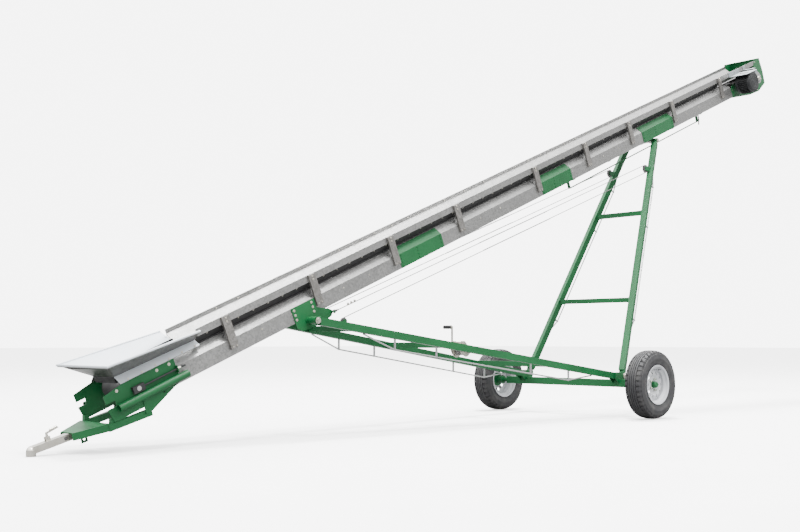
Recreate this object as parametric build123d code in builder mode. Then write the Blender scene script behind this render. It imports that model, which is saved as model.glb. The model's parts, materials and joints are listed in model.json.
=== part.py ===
"""Portable belt conveyor: an inclined slider-bed boom on a wheeled A-frame undercarriage.

Millimetres. +X runs towards the discharge end, +Z is up and +Y is the left side.
The origin is on the ground under the middle of the machine's box.
Most of the boom is drawn in boom coordinates: s along the boom from above the axle,
y across it, and h square to it from the underside of the side panels.
"""

import os
from math import asin, atan2, cos, radians, sin

from build123d import *

os.makedirs("parts", exist_ok=True)

# ---------------------------------------------------------------- driving dimensions
boom_angle = 22.7  # degrees, belt incline as parked
boom_height = 2580.0  # underside of the side panels straight above the axle
boom_half_width = 215.0
panel_start = -5500.0
panel_end = 3530.0
panel_height = 127.0
panel_foot = 40.0
shoulder_in = 60.0
shoulder_rise = 59.0
shoulder_land = 22.0
sheet = 3.0  # folded galvanised sheet
plate = 6.0  # green steel plate

rail_start = -5180.0
rail_end = 4300.0
skirt_end = 3330.0
rail_top = 320.0
rail_strip = 58.0
rail_slope_top = 284.0
rail_slope_in = 75.0
rail_slope_drop = 72.0
rubber = 6.0
rubber_hem = 25.0  # how far below the rail's fold the rubber starts

post_stations = (-4905, -3980, -3010, -2080, -800, 135, 1045, 2035, 3265)
post_width = 74.0
post_depth = 20.0
post_bottom = 52.0
bolt_head = 7.0
bolt_rise = 5.0
splice_stations = ((-2965, -2370), (-758, -209), (1276, 1985))
splice_sheet = 4.0

belt_width = 290.0
belt_thickness = 8.0
pulley_radius = 75.0
pulley_face = 300.0
pulley_wall = 6.0
running_gap = 0.3
shaft_radius = 17.5
bearing_gap = 0.05
tail_pulley_s = -5790.0
head_pulley_s = 4040.0
bed_start = -5690.0
idler_s = -800.0
idler_radius = 20.0
idler_shaft_radius = 5.0
brace_stations = (-4700, -3500, -1500, 700, 1600, 2700)
brace_size = 40.0
brace_h = 80.0

tail_plate_start = -6060.0
tail_plate_end = -5440.0
tail_plate_bottom = -36.0
take_up_travel = 30.0
block_length = 96.0
block_height = 52.0
block_depth = 26.0
take_up_rod_radius = 7.0
tail_tube_radius = 28.0
tail_tube_h = 50.0
tail_tube_start = -5990.0
tail_tube_end = -5380.0

hopper_front_s = -6029.0
hopper_front_h = 386.0
hopper_front_half = 375.0
hopper_rear_s = -5186.0
hopper_rear_h = 307.0
hopper_rear_half = 280.0
hopper_floor_front = -5900.0
hopper_floor_h = 247.0
hopper_floor_half = 150.0
hopper_band_h = 195.0
tail_plate_top = 193.0
hopper_lip = 14.0

hitch_reach = 6104.0  # nose of the coupler ahead of the axle
ball_radius = 25.4
coupler_wall = 8.6
coupler_stem_width = 66.0
latch_width = 18.0
tongue_tube = 50.0
tongue_half = 196.0
tongue_front_half = 67.0
tongue_rear = (-5262.0, 276.0)  # x from the axle, z
tongue_knee = (-5586.0, 180.0)
tongue_front = (-5800.0, 118.0)
coupler_overlap = 66.0
chain_tab = 110.0
chain_hole_radius = 10.0

hood_start = 3545.0
hood_end_s = 4468.0
hood_lip_h = -25.0
hood_belly_h = -88.0
hood_sheet = 4.0
head_plate_start = 3430.0

motor_s = 3690.0
motor_radius = 125.0
motor_length = 210.0
motor_sheave_radius = 35.0
drive_sheave_radius = 55.0
drive_sheave_offset = (-60.0, 78.0)  # reducer's input shaft from the head shaft, along s and h
v_belt_thickness = 9.0
v_belt_width = 14.0
drive_plane_y = 246.0
reducer_start_y = 264.0
reducer_depth = 96.0
reducer_radius = 92.0

wheel_radius = 345.0
tyre_width = 205.0
rim_radius = 190.0
rim_half_width = 88.0
wheel_track = 2020.0
hub_radius = 62.0
stud_circle_radius = 57.0
stud_count = 5
stud_radius = 6.5
spindle_radius = 22.0
disc_offset = 30.0

arm_pivot_reach = 3813.0  # pivot pin ahead of the axle
arm_pivot_height = 955.0
arm_pivot_half = 301.0
foot_half = 619.0  # arms and legs at the axle
frame_tube = 64.0
tube_wall = 5.0
axle_beam_size = 76.0
axle_beam_half = 860.0
leg_pivot_behind = 62.0
leg_pivot_height = 425.0
leg_top_s = 1553.0
leg_top_half = 187.0
pin_radius = 16.0
pin_gap = 0.05
ear_plate = 8.0
side_gap = 0.3

track_roller_radius = 25.0
track_roller_width = 30.0
track_room_up = 6.0
track_room_down = 20.0
track_start = -200.0
track_end = 2684.0
track_bar = 6.0
track_y = 130.0

sheave_radius = 45.0
sheave_width = 20.0
cable_radius = 4.0
cable_half = 246.0
strand_gap = 2.0
sheave_pin = 8.0
cable_overlap = 1100.0
cable_anchor_s = -3885.0
cable_anchor_h = -50.0
arm_sheave_radius = 32.0
arm_sheave_share = 0.092
arm_sheave_rise = 46.0
leg_sheave_share = 0.862
leg_sheave_ahead = 114.0

cross_shares = (0.116, 0.385, 0.74)
cross_tube = 50.0
arm_rod_shares = (0.13, 0.22, 0.345, 0.66, 0.80, 0.89)
leg_rod_shares = (0.18, 0.23, 0.62, 0.80, 0.872)
leg_bar_shares = (0.296, 0.667)
truss_rod_radius = 7.0
truss_standoff = 95.0
leg_standoff = 62.0

winch_setback = 210.0  # crank shaft behind the middle crossbar
winch_outer_y = -400.0
winch_inner_y = -285.0
winch_plate = 5.0
drum_radius = 30.0
drum_flange_radius = 52.0
drum_gear_radius = 60.0
pinion_radius = 20.0
gear_width = 8.0
drum_back = 47.0
drum_drop = 66.0
crank_shaft_radius = 8.0
crank_radius = 155.0
crank_grip = 100.0

# ---------------------------------------------------------------- derived layout
sin_boom = sin(radians(boom_angle))
cos_boom = cos(radians(boom_angle))
boom_dir = Vector(cos_boom, 0, sin_boom)
hood_reach = hood_end_s * cos_boom - hood_lip_h * sin_boom
axle_x = (hitch_reach - hood_reach) / 2
half_track = wheel_track / 2
shoulder_top = panel_height + shoulder_rise
bed_half_width = boom_half_width - shoulder_in - 5
belt_inner_h = shoulder_top + sheet + running_gap
pulley_h = belt_inner_h - pulley_radius - running_gap
belt_outer_radius = pulley_radius + running_gap + belt_thickness
belt_top = belt_inner_h + belt_thickness
return_underside = pulley_h - belt_outer_radius
idler_h = return_underside - running_gap - idler_radius
leg_top_h = -2 * track_bar - track_room_up - track_roller_radius
track_bottom = leg_top_h - track_roller_radius - track_room_down
cable_low_half = cable_half + 2 * cable_radius + strand_gap
SIDES = (("right", -1), ("left", 1))
up = Vector(0, 0, 1)
sideways = Vector(0, 1, 0)


def boom_point(s, h, y=0.0):
    """A point given in boom coordinates."""
    rise = boom_height + s * sin_boom + h * cos_boom
    return Vector(axle_x + s * cos_boom - h * sin_boom, y, rise)


def ground_point(reach, z, y=0.0):
    """A point given by its distance behind the axle, its height and its y."""
    return Vector(axle_x + reach, y, z)


def across_boom(s):
    """Plane square to the boom: local x is y, local y is h and the normal runs up the boom."""
    return Plane(origin=boom_point(s, 0), x_dir=(0, 1, 0), z_dir=boom_dir)


def beside_boom(y):
    """Upright plane along the boom: local x is s, local y is h and the normal is -Y."""
    return Plane(origin=boom_point(0, 0, y), x_dir=boom_dir, z_dir=(0, -1, 0))


def turning(centre):
    """Plane for a round piece that turns about the Y direction, with its normal along -Y."""
    return Plane(origin=centre, x_dir=boom_dir, z_dir=(0, -1, 0))


def along(start, end):
    """Plane at start with its normal towards end and its local x level."""
    direction = (end - start).normalized()
    level = Vector(0, 1, 0) if abs(direction.Z) > 0.999 else up.cross(direction).normalized()
    return Plane(origin=start, x_dir=level, z_dir=direction)


def between(start, end, share):
    """The point that lies the given share of the way from start to end."""
    return start + (end - start) * share


def folded(points, thickness):
    """Outline of a sheet folded along points, with its thickness on the left of the path."""
    corners = [Vector(*point) for point in points]
    runs = [(b - a).normalized() for a, b in zip(corners, corners[1:])]
    lefts = [Vector(-run.Y, run.X) for run in runs]
    inner = []
    for corner, before, after in zip(corners, lefts[:1] + lefts, lefts + lefts[-1:]):
        miter = (before + after).normalized()
        inner.append(corner + miter * (thickness / miter.dot(before)))
    return [(v.X, v.Y) for v in corners + inner[::-1]]


def sided(points, side):
    """A path across the boom for the left side, or its mirror image for the right one."""
    return points if side > 0 else [(-y, h) for y, h in reversed(points)]


def square_bar(start, end, width):
    """A solid square bar from start to end, with two level faces."""
    with BuildPart() as bar:
        with BuildSketch(along(start, end)):
            Rectangle(width, width)
        extrude(amount=(end - start).length)
    return bar.part


def square_tube(start, end, width, wall=tube_wall):
    """A square tube from start to end, with two level faces."""
    with BuildPart() as tube:
        with BuildSketch(along(start, end)):
            Rectangle(width, width)
            Rectangle(width - 2 * wall, width - 2 * wall, mode=Mode.SUBTRACT)
        extrude(amount=(end - start).length)
    return tube.part


def round_bar(start, end, radius):
    """A round bar from start to end."""
    with BuildPart() as bar:
        with BuildSketch(along(start, end)):
            Circle(radius)
        extrude(amount=(end - start).length)
    return bar.part


def sheet_panel(*corners):
    """A flat sheet with the given corners in its middle plane."""
    with BuildPart() as panel:
        extrude(Face(Wire.make_polygon(corners)), amount=sheet / 2, both=True)
    return panel.part


def keep(builder, name):
    """Label a finished piece and write it."""
    builder.part.label = name
    export_step(builder.part, f"parts/{name}.step")


# ---------------------------------------------------------------- boom: sheet-metal trough
panel_path = (
    (boom_half_width - panel_foot, 0),
    (boom_half_width, 0),
    (boom_half_width, panel_height),
    (boom_half_width - shoulder_in, shoulder_top),
    (boom_half_width - shoulder_in - shoulder_land, shoulder_top),
)
for name, side in SIDES:
    with BuildPart() as side_panel:
        with BuildSketch(across_boom(panel_start)):
            Polygon(*folded(sided(panel_path, side), sheet), align=None)
        extrude(amount=panel_end - panel_start)
        with BuildSketch(beside_boom(0)):
            with Locations((idler_s, idler_h)):
                Circle(idler_shaft_radius + bearing_gap)
        extrude(amount=boom_half_width + sheet, both=True, mode=Mode.SUBTRACT)
    keep(side_panel, f"side_panel_{name}")

with BuildPart() as slider_bed:
    with BuildSketch(across_boom(bed_start)):
        with Locations((0, shoulder_top + sheet / 2)):
            Rectangle(2 * bed_half_width, sheet)
    extrude(amount=panel_end - bed_start)
keep(slider_bed, "slider_bed")

with BuildPart() as deck_braces:
    for s in brace_stations:
        with BuildSketch(beside_boom(0)):
            with Locations((s, brace_h)):
                angle = folded([(brace_size, 0), (0, 0), (0, brace_size)], -sheet)
                Polygon(*angle, align=None)
        extrude(amount=boom_half_width - sheet, both=True)
keep(deck_braces, "deck_braces")

rail_strip_path = ((boom_half_width, rail_top - rail_strip), (boom_half_width, rail_top))
rail_slope_path = (
    (boom_half_width - sheet, rail_slope_top),
    (boom_half_width - rail_slope_in, rail_slope_top - rail_slope_drop),
)
for name, side in SIDES:
    with BuildPart() as skirt_rail:
        with BuildSketch(across_boom(rail_start)):
            for path in (rail_strip_path, rail_slope_path):
                Polygon(*folded(sided(path, side), sheet), align=None)
        extrude(amount=rail_end - rail_start)
    keep(skirt_rail, f"skirt_rail_{name}")

# The rubber hangs under the rail's slope and wipes the edge of the belt.
rail_fold = Vector(boom_half_width - sheet, rail_slope_top)
slope = Vector(sheet - rail_slope_in, -rail_slope_drop).normalized()
slope_out = Vector(-slope.Y, slope.X)
rubber_top = rail_fold + slope * rubber_hem + slope_out * sheet
wipe_h = belt_top + running_gap
rubber_run = (rubber_top.Y + slope_out.Y * rubber - wipe_h) / -slope.Y
rubber_low = rubber_top + slope * rubber_run
rubber_path = ((rubber_top.X, rubber_top.Y), (rubber_low.X, rubber_low.Y))
flap_y = hopper_floor_half - sheet / 2 - rubber
with BuildPart() as rubber_skirts:
    for name, side in SIDES:
        with BuildSketch(across_boom(rail_start)):
            Polygon(*folded(sided(rubber_path, side), rubber), align=None)
        extrude(amount=skirt_end - rail_start)
    for name, side in SIDES:
        with BuildSketch(across_boom(hopper_floor_front + sheet)):
            with Locations((side * (flap_y + rubber / 2), (wipe_h + hopper_floor_h) / 2)):
                Rectangle(rubber, hopper_floor_h - wipe_h)
        extrude(amount=rail_start - running_gap - hopper_floor_front - sheet)
    with BuildSketch(across_boom(hopper_floor_front + sheet / 2)):
        with Locations((0, (wipe_h + hopper_floor_h) / 2)):
            Rectangle(2 * (flap_y + rubber), hopper_floor_h - wipe_h)
    extrude(amount=rubber)
keep(rubber_skirts, "rubber_skirts")

with BuildPart() as rail_posts:
    post_middle = (post_bottom + rail_top - sheet) / 2
    post_height = rail_top - sheet - post_bottom
    for name, side in SIDES:
        for s in post_stations:
            with BuildSketch(beside_boom(side * boom_half_width)):
                with Locations((s, post_middle)):
                    Rectangle(post_width, post_height)
            extrude(amount=-side * post_depth)
            with BuildSketch(beside_boom(side * boom_half_width)):
                with Locations((s, post_middle)):
                    Rectangle(post_width - 2 * sheet, post_height)
            extrude(amount=-side * (post_depth - sheet), mode=Mode.SUBTRACT)
            with BuildSketch(beside_boom(side * boom_half_width)):
                with Locations((s, post_bottom + sheet / 2), (s, rail_top - sheet * 1.5)):
                    Rectangle(post_width, sheet)
            extrude(amount=-side * post_depth)
keep(rail_posts, "rail_posts")

splice_path = (
    (boom_half_width - shoulder_in, shoulder_top),
    (boom_half_width, panel_height),
    (boom_half_width, 0),
)
with BuildPart() as splice_covers:
    for name, side in SIDES:
        for start, end in splice_stations:
            with BuildSketch(across_boom(start)):
                Polygon(*folded(sided(splice_path, side), splice_sheet), align=None)
            extrude(amount=end - start)
keep(splice_covers, "splice_covers")

with BuildPart() as belt:
    with BuildSketch(beside_boom(0)):
        with Locations(((head_pulley_s + tail_pulley_s) / 2, pulley_h)):
            span = head_pulley_s - tail_pulley_s
            SlotCenterToCenter(span, 2 * belt_outer_radius)
            SlotCenterToCenter(span, 2 * (belt_outer_radius - belt_thickness), mode=Mode.SUBTRACT)
    extrude(amount=belt_width / 2, both=True)
keep(belt, "belt")

# ---------------------------------------------------------------- pulleys and return idler
for name, s in (("head", head_pulley_s), ("tail", tail_pulley_s)):
    shaft_half = boom_half_width + plate + block_depth
    drive_side = 60.0 if name == "head" else 0.0
    with BuildPart(turning(boom_point(s, pulley_h))) as pulley:
        Cylinder(pulley_radius, pulley_face)
        Cylinder(pulley_radius - pulley_wall, pulley_face, mode=Mode.SUBTRACT)
        with Locations((0, 0, pulley_face / 3), (0, 0, -pulley_face / 3)):
            Cylinder(pulley_radius - pulley_wall, pulley_wall)
        with PolarLocations(pulley_radius * 0.6, 6):
            Cylinder(pulley_radius / 8, pulley_face, mode=Mode.SUBTRACT)
        with Locations((0, 0, drive_side / 2)):
            Cylinder(shaft_radius, 2 * shaft_half + drive_side)
    keep(pulley, f"{name}_pulley")

with BuildPart(turning(boom_point(idler_s, idler_h))) as return_idler:
    Cylinder(idler_radius, pulley_face)
    Cylinder(idler_shaft_radius, 2 * boom_half_width + 8)
keep(return_idler, "return_idler")

# ---------------------------------------------------------------- tail frame and belt take-up
slot_low = pulley_h - shaft_radius - 4
slot_high = pulley_h + shaft_radius + 4
tail_outline = (
    (-5900, tail_plate_top),
    (tail_plate_end, tail_plate_top),
    (tail_plate_end, 30),
    (-5700, tail_plate_bottom),
    (-6040, tail_plate_bottom),
    (tail_plate_start, 66),
    (-5985, 66),
    (-5985, 108),
    (tail_plate_start, 108),
    (tail_plate_start, 168),
)
for name, side in SIDES:
    with BuildPart() as tail_plate:
        with BuildSketch(beside_boom(side * boom_half_width)):
            Polygon(*tail_outline, align=None)
            slot_start = tail_pulley_s - shaft_radius - 4
            slot_end = tail_pulley_s + take_up_travel + shaft_radius + 4
            with Locations(((slot_start + slot_end) / 2, pulley_h)):
                Rectangle(slot_end - slot_start, slot_high - slot_low, mode=Mode.SUBTRACT)
        extrude(amount=-side * plate)
        # lug that guides the take-up rod
        with BuildSketch(beside_boom(side * (boom_half_width + plate))):
            with Locations((tail_plate_end - plate, pulley_h)):
                Rectangle(plate, block_height)
        extrude(amount=-side * block_depth)
        with BuildSketch(across_boom(tail_plate_end - 3 * plate)):
            with Locations((side * (boom_half_width + plate + block_depth / 2), pulley_h)):
                Circle(take_up_rod_radius + side_gap)
        extrude(amount=4 * plate, mode=Mode.SUBTRACT)
    keep(tail_plate, f"tail_plate_{name}")

with BuildPart() as take_up_blocks:
    for name, side in SIDES:
        y = side * (boom_half_width + plate + side_gap)
        with BuildSketch(beside_boom(y)):
            with Locations((tail_pulley_s, pulley_h)):
                Rectangle(block_length, block_height)
                Circle(shaft_radius + bearing_gap, mode=Mode.SUBTRACT)
        extrude(amount=-side * (block_depth - side_gap))
        rod_start = tail_pulley_s + block_length / 2 - 1
        with BuildSketch(across_boom(rod_start)):
            with Locations((side * (boom_half_width + plate + block_depth / 2), pulley_h)):
                Circle(take_up_rod_radius)
        extrude(amount=-5370 - rod_start)
keep(take_up_blocks, "take_up_blocks")

gusset_outline = ((-5780, tail_tube_h), (-5460, tail_tube_h), (-5460, 15), (-5748, -88), (-5796, -88))
tube_y = boom_half_width + plate + tail_tube_radius
with BuildPart() as tail_tubes:
    for name, side in SIDES:
        with BuildSketch(across_boom(tail_tube_start)):
            with Locations((side * tube_y, tail_tube_h)):
                Circle(tail_tube_radius)
                Circle(tail_tube_radius - sheet, mode=Mode.SUBTRACT)
        extrude(amount=tail_tube_end - tail_tube_start)
        with BuildSketch(across_boom(tail_tube_end)):
            with Locations((side * tube_y, tail_tube_h)):
                Circle(tail_tube_radius)
        extrude(amount=sheet)
        with BuildSketch(beside_boom(side * (boom_half_width + plate))):
            Polygon(*gusset_outline, align=None)
        extrude(amount=-side * plate)
keep(tail_tubes, "tail_tubes")

# ---------------------------------------------------------------- hopper
floor_front = boom_point(hopper_floor_front, hopper_floor_h, hopper_floor_half)
rim_front = boom_point(hopper_front_s, hopper_front_h, hopper_front_half)
rim_rear = boom_point(hopper_rear_s, hopper_rear_h, hopper_rear_half)
band_front = boom_point(hopper_floor_front, hopper_band_h, boom_half_width)
band_rear = boom_point(hopper_rear_s, hopper_band_h, boom_half_width)
# The side wall and the inclined band below it meet along one straight fold.
wall_normal = (rim_front - floor_front).cross(rim_rear - floor_front)
band_up = floor_front - band_front
fold_share = wall_normal.dot(floor_front - band_rear) / wall_normal.dot(band_up)
floor_rear = band_rear + band_up * fold_share
lip_drop = boom_point(0, -hopper_lip) - boom_point(0, 0)
mirror_y = Vector(1, -1, 1)
hopper_sheets = []
for name, side in SIDES:
    corners = [floor_front, floor_rear, rim_rear, rim_front, band_front, band_rear]
    corners = [Vector(v.X, v.Y * side, v.Z) for v in corners]
    floor_a, floor_b, rim_b, rim_a, band_a, band_b = corners
    hopper_sheets.append(sheet_panel(floor_a, floor_b, rim_b, rim_a))
    hopper_sheets.append(sheet_panel(band_a, band_b, floor_b, floor_a))
    hopper_sheets.append(sheet_panel(rim_a, rim_b, rim_b + lip_drop, rim_a + lip_drop))
front_rim = [Vector(rim_front.X, y, rim_front.Z) for y in (-hopper_front_half, hopper_front_half)]
front_floor = [Vector(floor_front.X, y, floor_front.Z) for y in (hopper_floor_half, -hopper_floor_half)]
hopper_sheets.append(sheet_panel(*front_rim, *front_floor))
hopper_sheets.append(sheet_panel(*front_rim, *(v + lip_drop for v in reversed(front_rim))))
with BuildPart() as hopper:
    add(hopper_sheets)
keep(hopper, "hopper")

# ---------------------------------------------------------------- tongue and ball coupler
tongue_knee_mid = ground_point(*tongue_knee)
tongue_front_mid = ground_point(*tongue_front)
nose_dir = (tongue_front_mid - tongue_knee_mid).normalized()
nose_up = Vector(-nose_dir.Z, 0, nose_dir.X) * -1
tongue_bars = []
for name, side in SIDES:
    rear = ground_point(*tongue_rear, side * tongue_half)
    knee = ground_point(*tongue_knee, side * tongue_half)
    front = ground_point(*tongue_front, side * tongue_front_half)
    knee_overlap = (knee - rear).normalized() * tongue_tube / 3
    tongue_bars.append(square_tube(rear, knee + knee_overlap, tongue_tube))
    tongue_bars.append(square_tube(knee, front, tongue_tube))
    post_foot = ground_point(tongue_knee[0] + 20, tongue_knee[1], side * tongue_half)
    tongue_bars.append(square_tube(post_foot, post_foot + up * 70, 38, wall=sheet))
cover_plane = Plane(
    origin=tongue_knee_mid + nose_up * tongue_tube / 2, x_dir=(0, 1, 0), z_dir=nose_up
)
cover_length = (tongue_front_mid - tongue_knee_mid).length
chain_point = tongue_front_mid - nose_dir * (coupler_overlap + 45)
chain_plane = Plane(origin=chain_point, x_dir=nose_dir * -1, z_dir=(0, -1, 0))
with BuildPart() as tongue:
    add(tongue_bars)
    with BuildSketch(cover_plane):
        wide = tongue_half + tongue_tube / 2
        narrow = tongue_front_half + tongue_tube / 2
        Polygon((-wide, 0), (wide, 0), (narrow, cover_length), (-narrow, cover_length), align=None)
    extrude(amount=plate)
    # safety-chain tab behind the coupler's stem
    with BuildSketch(chain_plane):
        with Locations((0, tongue_tube / 2 + 2 - chain_tab / 2)):
            Rectangle(50, chain_tab)
        with Locations((0, tongue_tube / 2 + 2 - chain_tab + 25)):
            Circle(chain_hole_radius, mode=Mode.SUBTRACT)
    extrude(amount=plate / 2, both=True)
keep(tongue, "tongue")

dome_x = -hitch_reach + ball_radius + coupler_wall
dome_radius = ball_radius + coupler_wall
dome = ground_point(dome_x, dome_radius)
stem_rear = tongue_front_mid - nose_dir * coupler_overlap
stem_run = (dome - stem_rear).dot(nose_dir) - 4
stem_plane = Plane(origin=stem_rear, x_dir=(0, 1, 0), z_dir=nose_dir)
with BuildPart() as coupler_body:
    with BuildSketch(stem_plane):
        Rectangle(coupler_stem_width, tongue_tube)
    extrude(amount=stem_run)
    with BuildSketch(stem_plane.offset(-1)):
        with Locations((0, 5)):
            Rectangle(coupler_stem_width - 10, tongue_tube - 5)
    extrude(amount=stem_run - 60, mode=Mode.SUBTRACT)
    with BuildSketch(Plane(origin=dome)):
        Circle(dome_radius)
    extrude(amount=-dome_radius)
    with BuildSketch(Plane(origin=(0, 0, -50))):
        with Locations((axle_x + dome_x, 0)):
            Rectangle(3 * dome_radius, 4 * dome_radius)
    extrude(amount=50, mode=Mode.SUBTRACT)
    with Locations(dome):
        Sphere(dome_radius)
        Sphere(ball_radius, mode=Mode.SUBTRACT)
    with BuildSketch(Plane(origin=dome)):
        Circle(ball_radius)
    extrude(amount=-dome_radius, mode=Mode.SUBTRACT)
    latch_foot = stem_rear + nose_dir * 215 + nose_up * tongue_tube / 2
    latch_plane = Plane(origin=latch_foot, x_dir=nose_dir * -1, z_dir=(0, -1, 0))
    with BuildSketch(latch_plane):
        with Locations((0, 14)):
            Rectangle(34, 34)
        with Locations((0, 19)):
            Circle(5 + bearing_gap, mode=Mode.SUBTRACT)
    extrude(amount=latch_width / 2 + 5, both=True)
    with BuildSketch(latch_plane):
        with Locations((0, 17)):
            Rectangle(36, 33)
    extrude(amount=latch_width / 2 + side_gap, both=True, mode=Mode.SUBTRACT)
keep(coupler_body, "coupler_body")

latch_pivot = latch_foot + nose_up * 19
with BuildPart() as coupler_latch:
    with BuildSketch(Plane(origin=latch_pivot, x_dir=nose_dir * -1, z_dir=(0, -1, 0))):
        Circle(11)
        with BuildLine():
            Polyline((-8, 4), (-2, 40), (92, 52), (94, 44), (8, 30), (8, -4), (-8, -4), close=True)
        make_face()
    extrude(amount=latch_width / 2, both=True)
    with BuildSketch(Plane(origin=latch_pivot, x_dir=nose_dir * -1, z_dir=(0, -1, 0))):
        Circle(5)
    extrude(amount=latch_width / 2 + 8, both=True)
keep(coupler_latch, "coupler_latch")

# ---------------------------------------------------------------- head frame and discharge hood
plate_y = boom_half_width - sheet
head_outline = (
    (head_plate_start, sheet + 1),
    (hood_start, hood_sheet + 1),
    (head_pulley_s - 60, hood_belly_h + 26),
    (4185, hood_belly_h + 18),
    (4185, 205),
    (hood_start + 60, 150),
    (hood_start, panel_height - 6),
    (head_plate_start, panel_height - 6),
)
with BuildPart() as head_plates:
    for name, side in SIDES:
        with BuildSketch(beside_boom(side * plate_y)):
            Polygon(*head_outline, align=None)
            with Locations((head_pulley_s, pulley_h)):
                Circle(shaft_radius + bearing_gap, mode=Mode.SUBTRACT)
        extrude(amount=side * plate)
        # flange bearing housing on the outside
        if side > 0:
            with BuildSketch(beside_boom(side * plate_y)):
                with Locations((head_pulley_s, pulley_h)):
                    Circle(48)
                    Circle(shaft_radius + bearing_gap, mode=Mode.SUBTRACT)
            extrude(amount=-side * 28)
keep(head_plates, "head_plates")

belly_path = (
    (hood_start, 0),
    (3985, hood_belly_h + 11),
    (4255, hood_belly_h),
)
belly_y = boom_half_width
cheek_outline = ((4196, -78), (4255, hood_belly_h), (hood_end_s, hood_lip_h), (4476, 135), (4446, 326), (4312, 340), (4196, 150))
with BuildPart() as discharge_hood:
    with BuildSketch(beside_boom(0)):
        Polygon(*folded(belly_path, hood_sheet), align=None)
    extrude(amount=belly_y, both=True)
    for name, side in SIDES:
        with BuildSketch(beside_boom(side * belly_y)):
            Polygon(*belly_path, (4196, -40), (4196, 0), align=None)
        extrude(amount=-side * hood_sheet)
        with BuildSketch(beside_boom(side * belly_y)):
            Polygon(*cheek_outline, align=None)
        extrude(amount=-side * hood_sheet)
    with BuildSketch(beside_boom(0)):
        end_path = ((hood_end_s, hood_lip_h), (4476, 135), (4446, 326))
        Polygon(*folded(end_path, hood_sheet), align=None)
    extrude(amount=belly_y + hood_sheet, both=True)
keep(discharge_hood, "discharge_hood")

# ---------------------------------------------------------------- drive: motor, V-belt, reducer
drive_side = -1
input_s = head_pulley_s + drive_sheave_offset[0]
input_h = pulley_h + drive_sheave_offset[1]
motor_h = rail_top - rail_strip - plate - motor_radius
motor_start = drive_side * (drive_plane_y + v_belt_width)
with BuildPart() as drive_motor:
    with BuildSketch(beside_boom(motor_start)):
        with Locations((motor_s, motor_h)):
            Circle(motor_radius)
    extrude(amount=motor_length)
    fillet(drive_motor.edges().filter_by(GeomType.CIRCLE), 14)
    with BuildSketch(beside_boom(motor_start)):
        with Locations((motor_s, motor_h + motor_radius - 10)):
            Rectangle(150, 20)
    extrude(amount=motor_length)
    with BuildSketch(beside_boom(drive_side * (drive_plane_y - v_belt_width / 2))):
        with Locations((motor_s, motor_h)):
            Circle(12)
    extrude(amount=v_belt_width * 2)
keep(drive_motor, "drive_motor")

with BuildPart() as motor_mount:
    with BuildSketch(beside_boom(drive_side * boom_half_width)):
        with Locations((motor_s, motor_h + motor_radius + plate / 2)):
            Rectangle(280, plate)
    extrude(amount=drive_plane_y + v_belt_width + motor_length - boom_half_width)
    with BuildSketch(beside_boom(drive_side * boom_half_width)):
        with Locations((motor_s, rail_top - rail_strip / 2)):
            Rectangle(280, rail_strip)
    extrude(amount=plate)
    with BuildSketch(beside_boom(drive_side * boom_half_width)):
        with Locations((input_s, (input_h + reducer_radius + rail_top) / 2 - 20)):
            Rectangle(60, rail_top - input_h - reducer_radius + 40)
    extrude(amount=plate)
    with BuildSketch(beside_boom(drive_side * boom_half_width)):
        with Locations((input_s, input_h + 69)):
            Rectangle(60, plate)
    extrude(amount=reducer_start_y + reducer_depth - boom_half_width)
    with BuildSketch(beside_boom(drive_side * reducer_start_y)):
        with Locations((input_s, input_h + 62)):
            Rectangle(50, 8)
    extrude(amount=reducer_depth)
keep(motor_mount, "motor_mount")

with BuildPart() as gear_reducer:
    with BuildSketch(beside_boom(drive_side * reducer_start_y)) as reducer_outline:
        with Locations((head_pulley_s, pulley_h)):
            Circle(reducer_radius - 22)
        with Locations((input_s, input_h)):
            Circle(58)
        make_hull()
        with Locations((head_pulley_s, pulley_h)):
            Circle(shaft_radius + bearing_gap, mode=Mode.SUBTRACT)
    extrude(amount=reducer_depth)
    with BuildSketch(beside_boom(drive_side * reducer_start_y)):
        with Locations((input_s, input_h)):
            Circle(12 + bearing_gap)
    extrude(amount=60, mode=Mode.SUBTRACT)
keep(gear_reducer, "gear_reducer")

for name, s, h, radius, bore, inward, outward in (
    ("motor_sheave", motor_s, motor_h, motor_sheave_radius, 12 + bearing_gap, 0, 0),
    ("drive_sheave", input_s, input_h, drive_sheave_radius, 0, 0, 52),
):
    with BuildPart() as sheave:
        with BuildSketch(beside_boom(drive_side * (drive_plane_y - v_belt_width / 2 - 4))):
            with Locations((s, h)):
                Circle(radius + 4)
                if bore:
                    Circle(bore, mode=Mode.SUBTRACT)
        extrude(amount=v_belt_width + 8)
        with BuildSketch(beside_boom(drive_side * (drive_plane_y - v_belt_width / 2))):
            with Locations((s, h)):
                Circle(radius + 5)
                Circle(radius - v_belt_thickness, mode=Mode.SUBTRACT)
        extrude(amount=v_belt_width, mode=Mode.SUBTRACT)
        if outward:
            with BuildSketch(beside_boom(drive_side * drive_plane_y)):
                with Locations((s, h)):
                    Circle(12)
            extrude(amount=outward)
    keep(sheave, name)

with BuildPart() as drive_belt:
    with BuildSketch(beside_boom(drive_side * (drive_plane_y - v_belt_width / 2 + 1))):
        for extra, mode in ((0, Mode.ADD), (-v_belt_thickness, Mode.SUBTRACT)):
            with BuildSketch(mode=Mode.PRIVATE) as loop:
                with Locations((motor_s, motor_h)):
                    Circle(motor_sheave_radius + running_gap + extra)
                with Locations((input_s, input_h)):
                    Circle(drive_sheave_radius + running_gap + extra)
                make_hull()
            add(loop.sketch, mode=mode)
    extrude(amount=v_belt_width - 2)
keep(drive_belt, "drive_belt")

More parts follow.
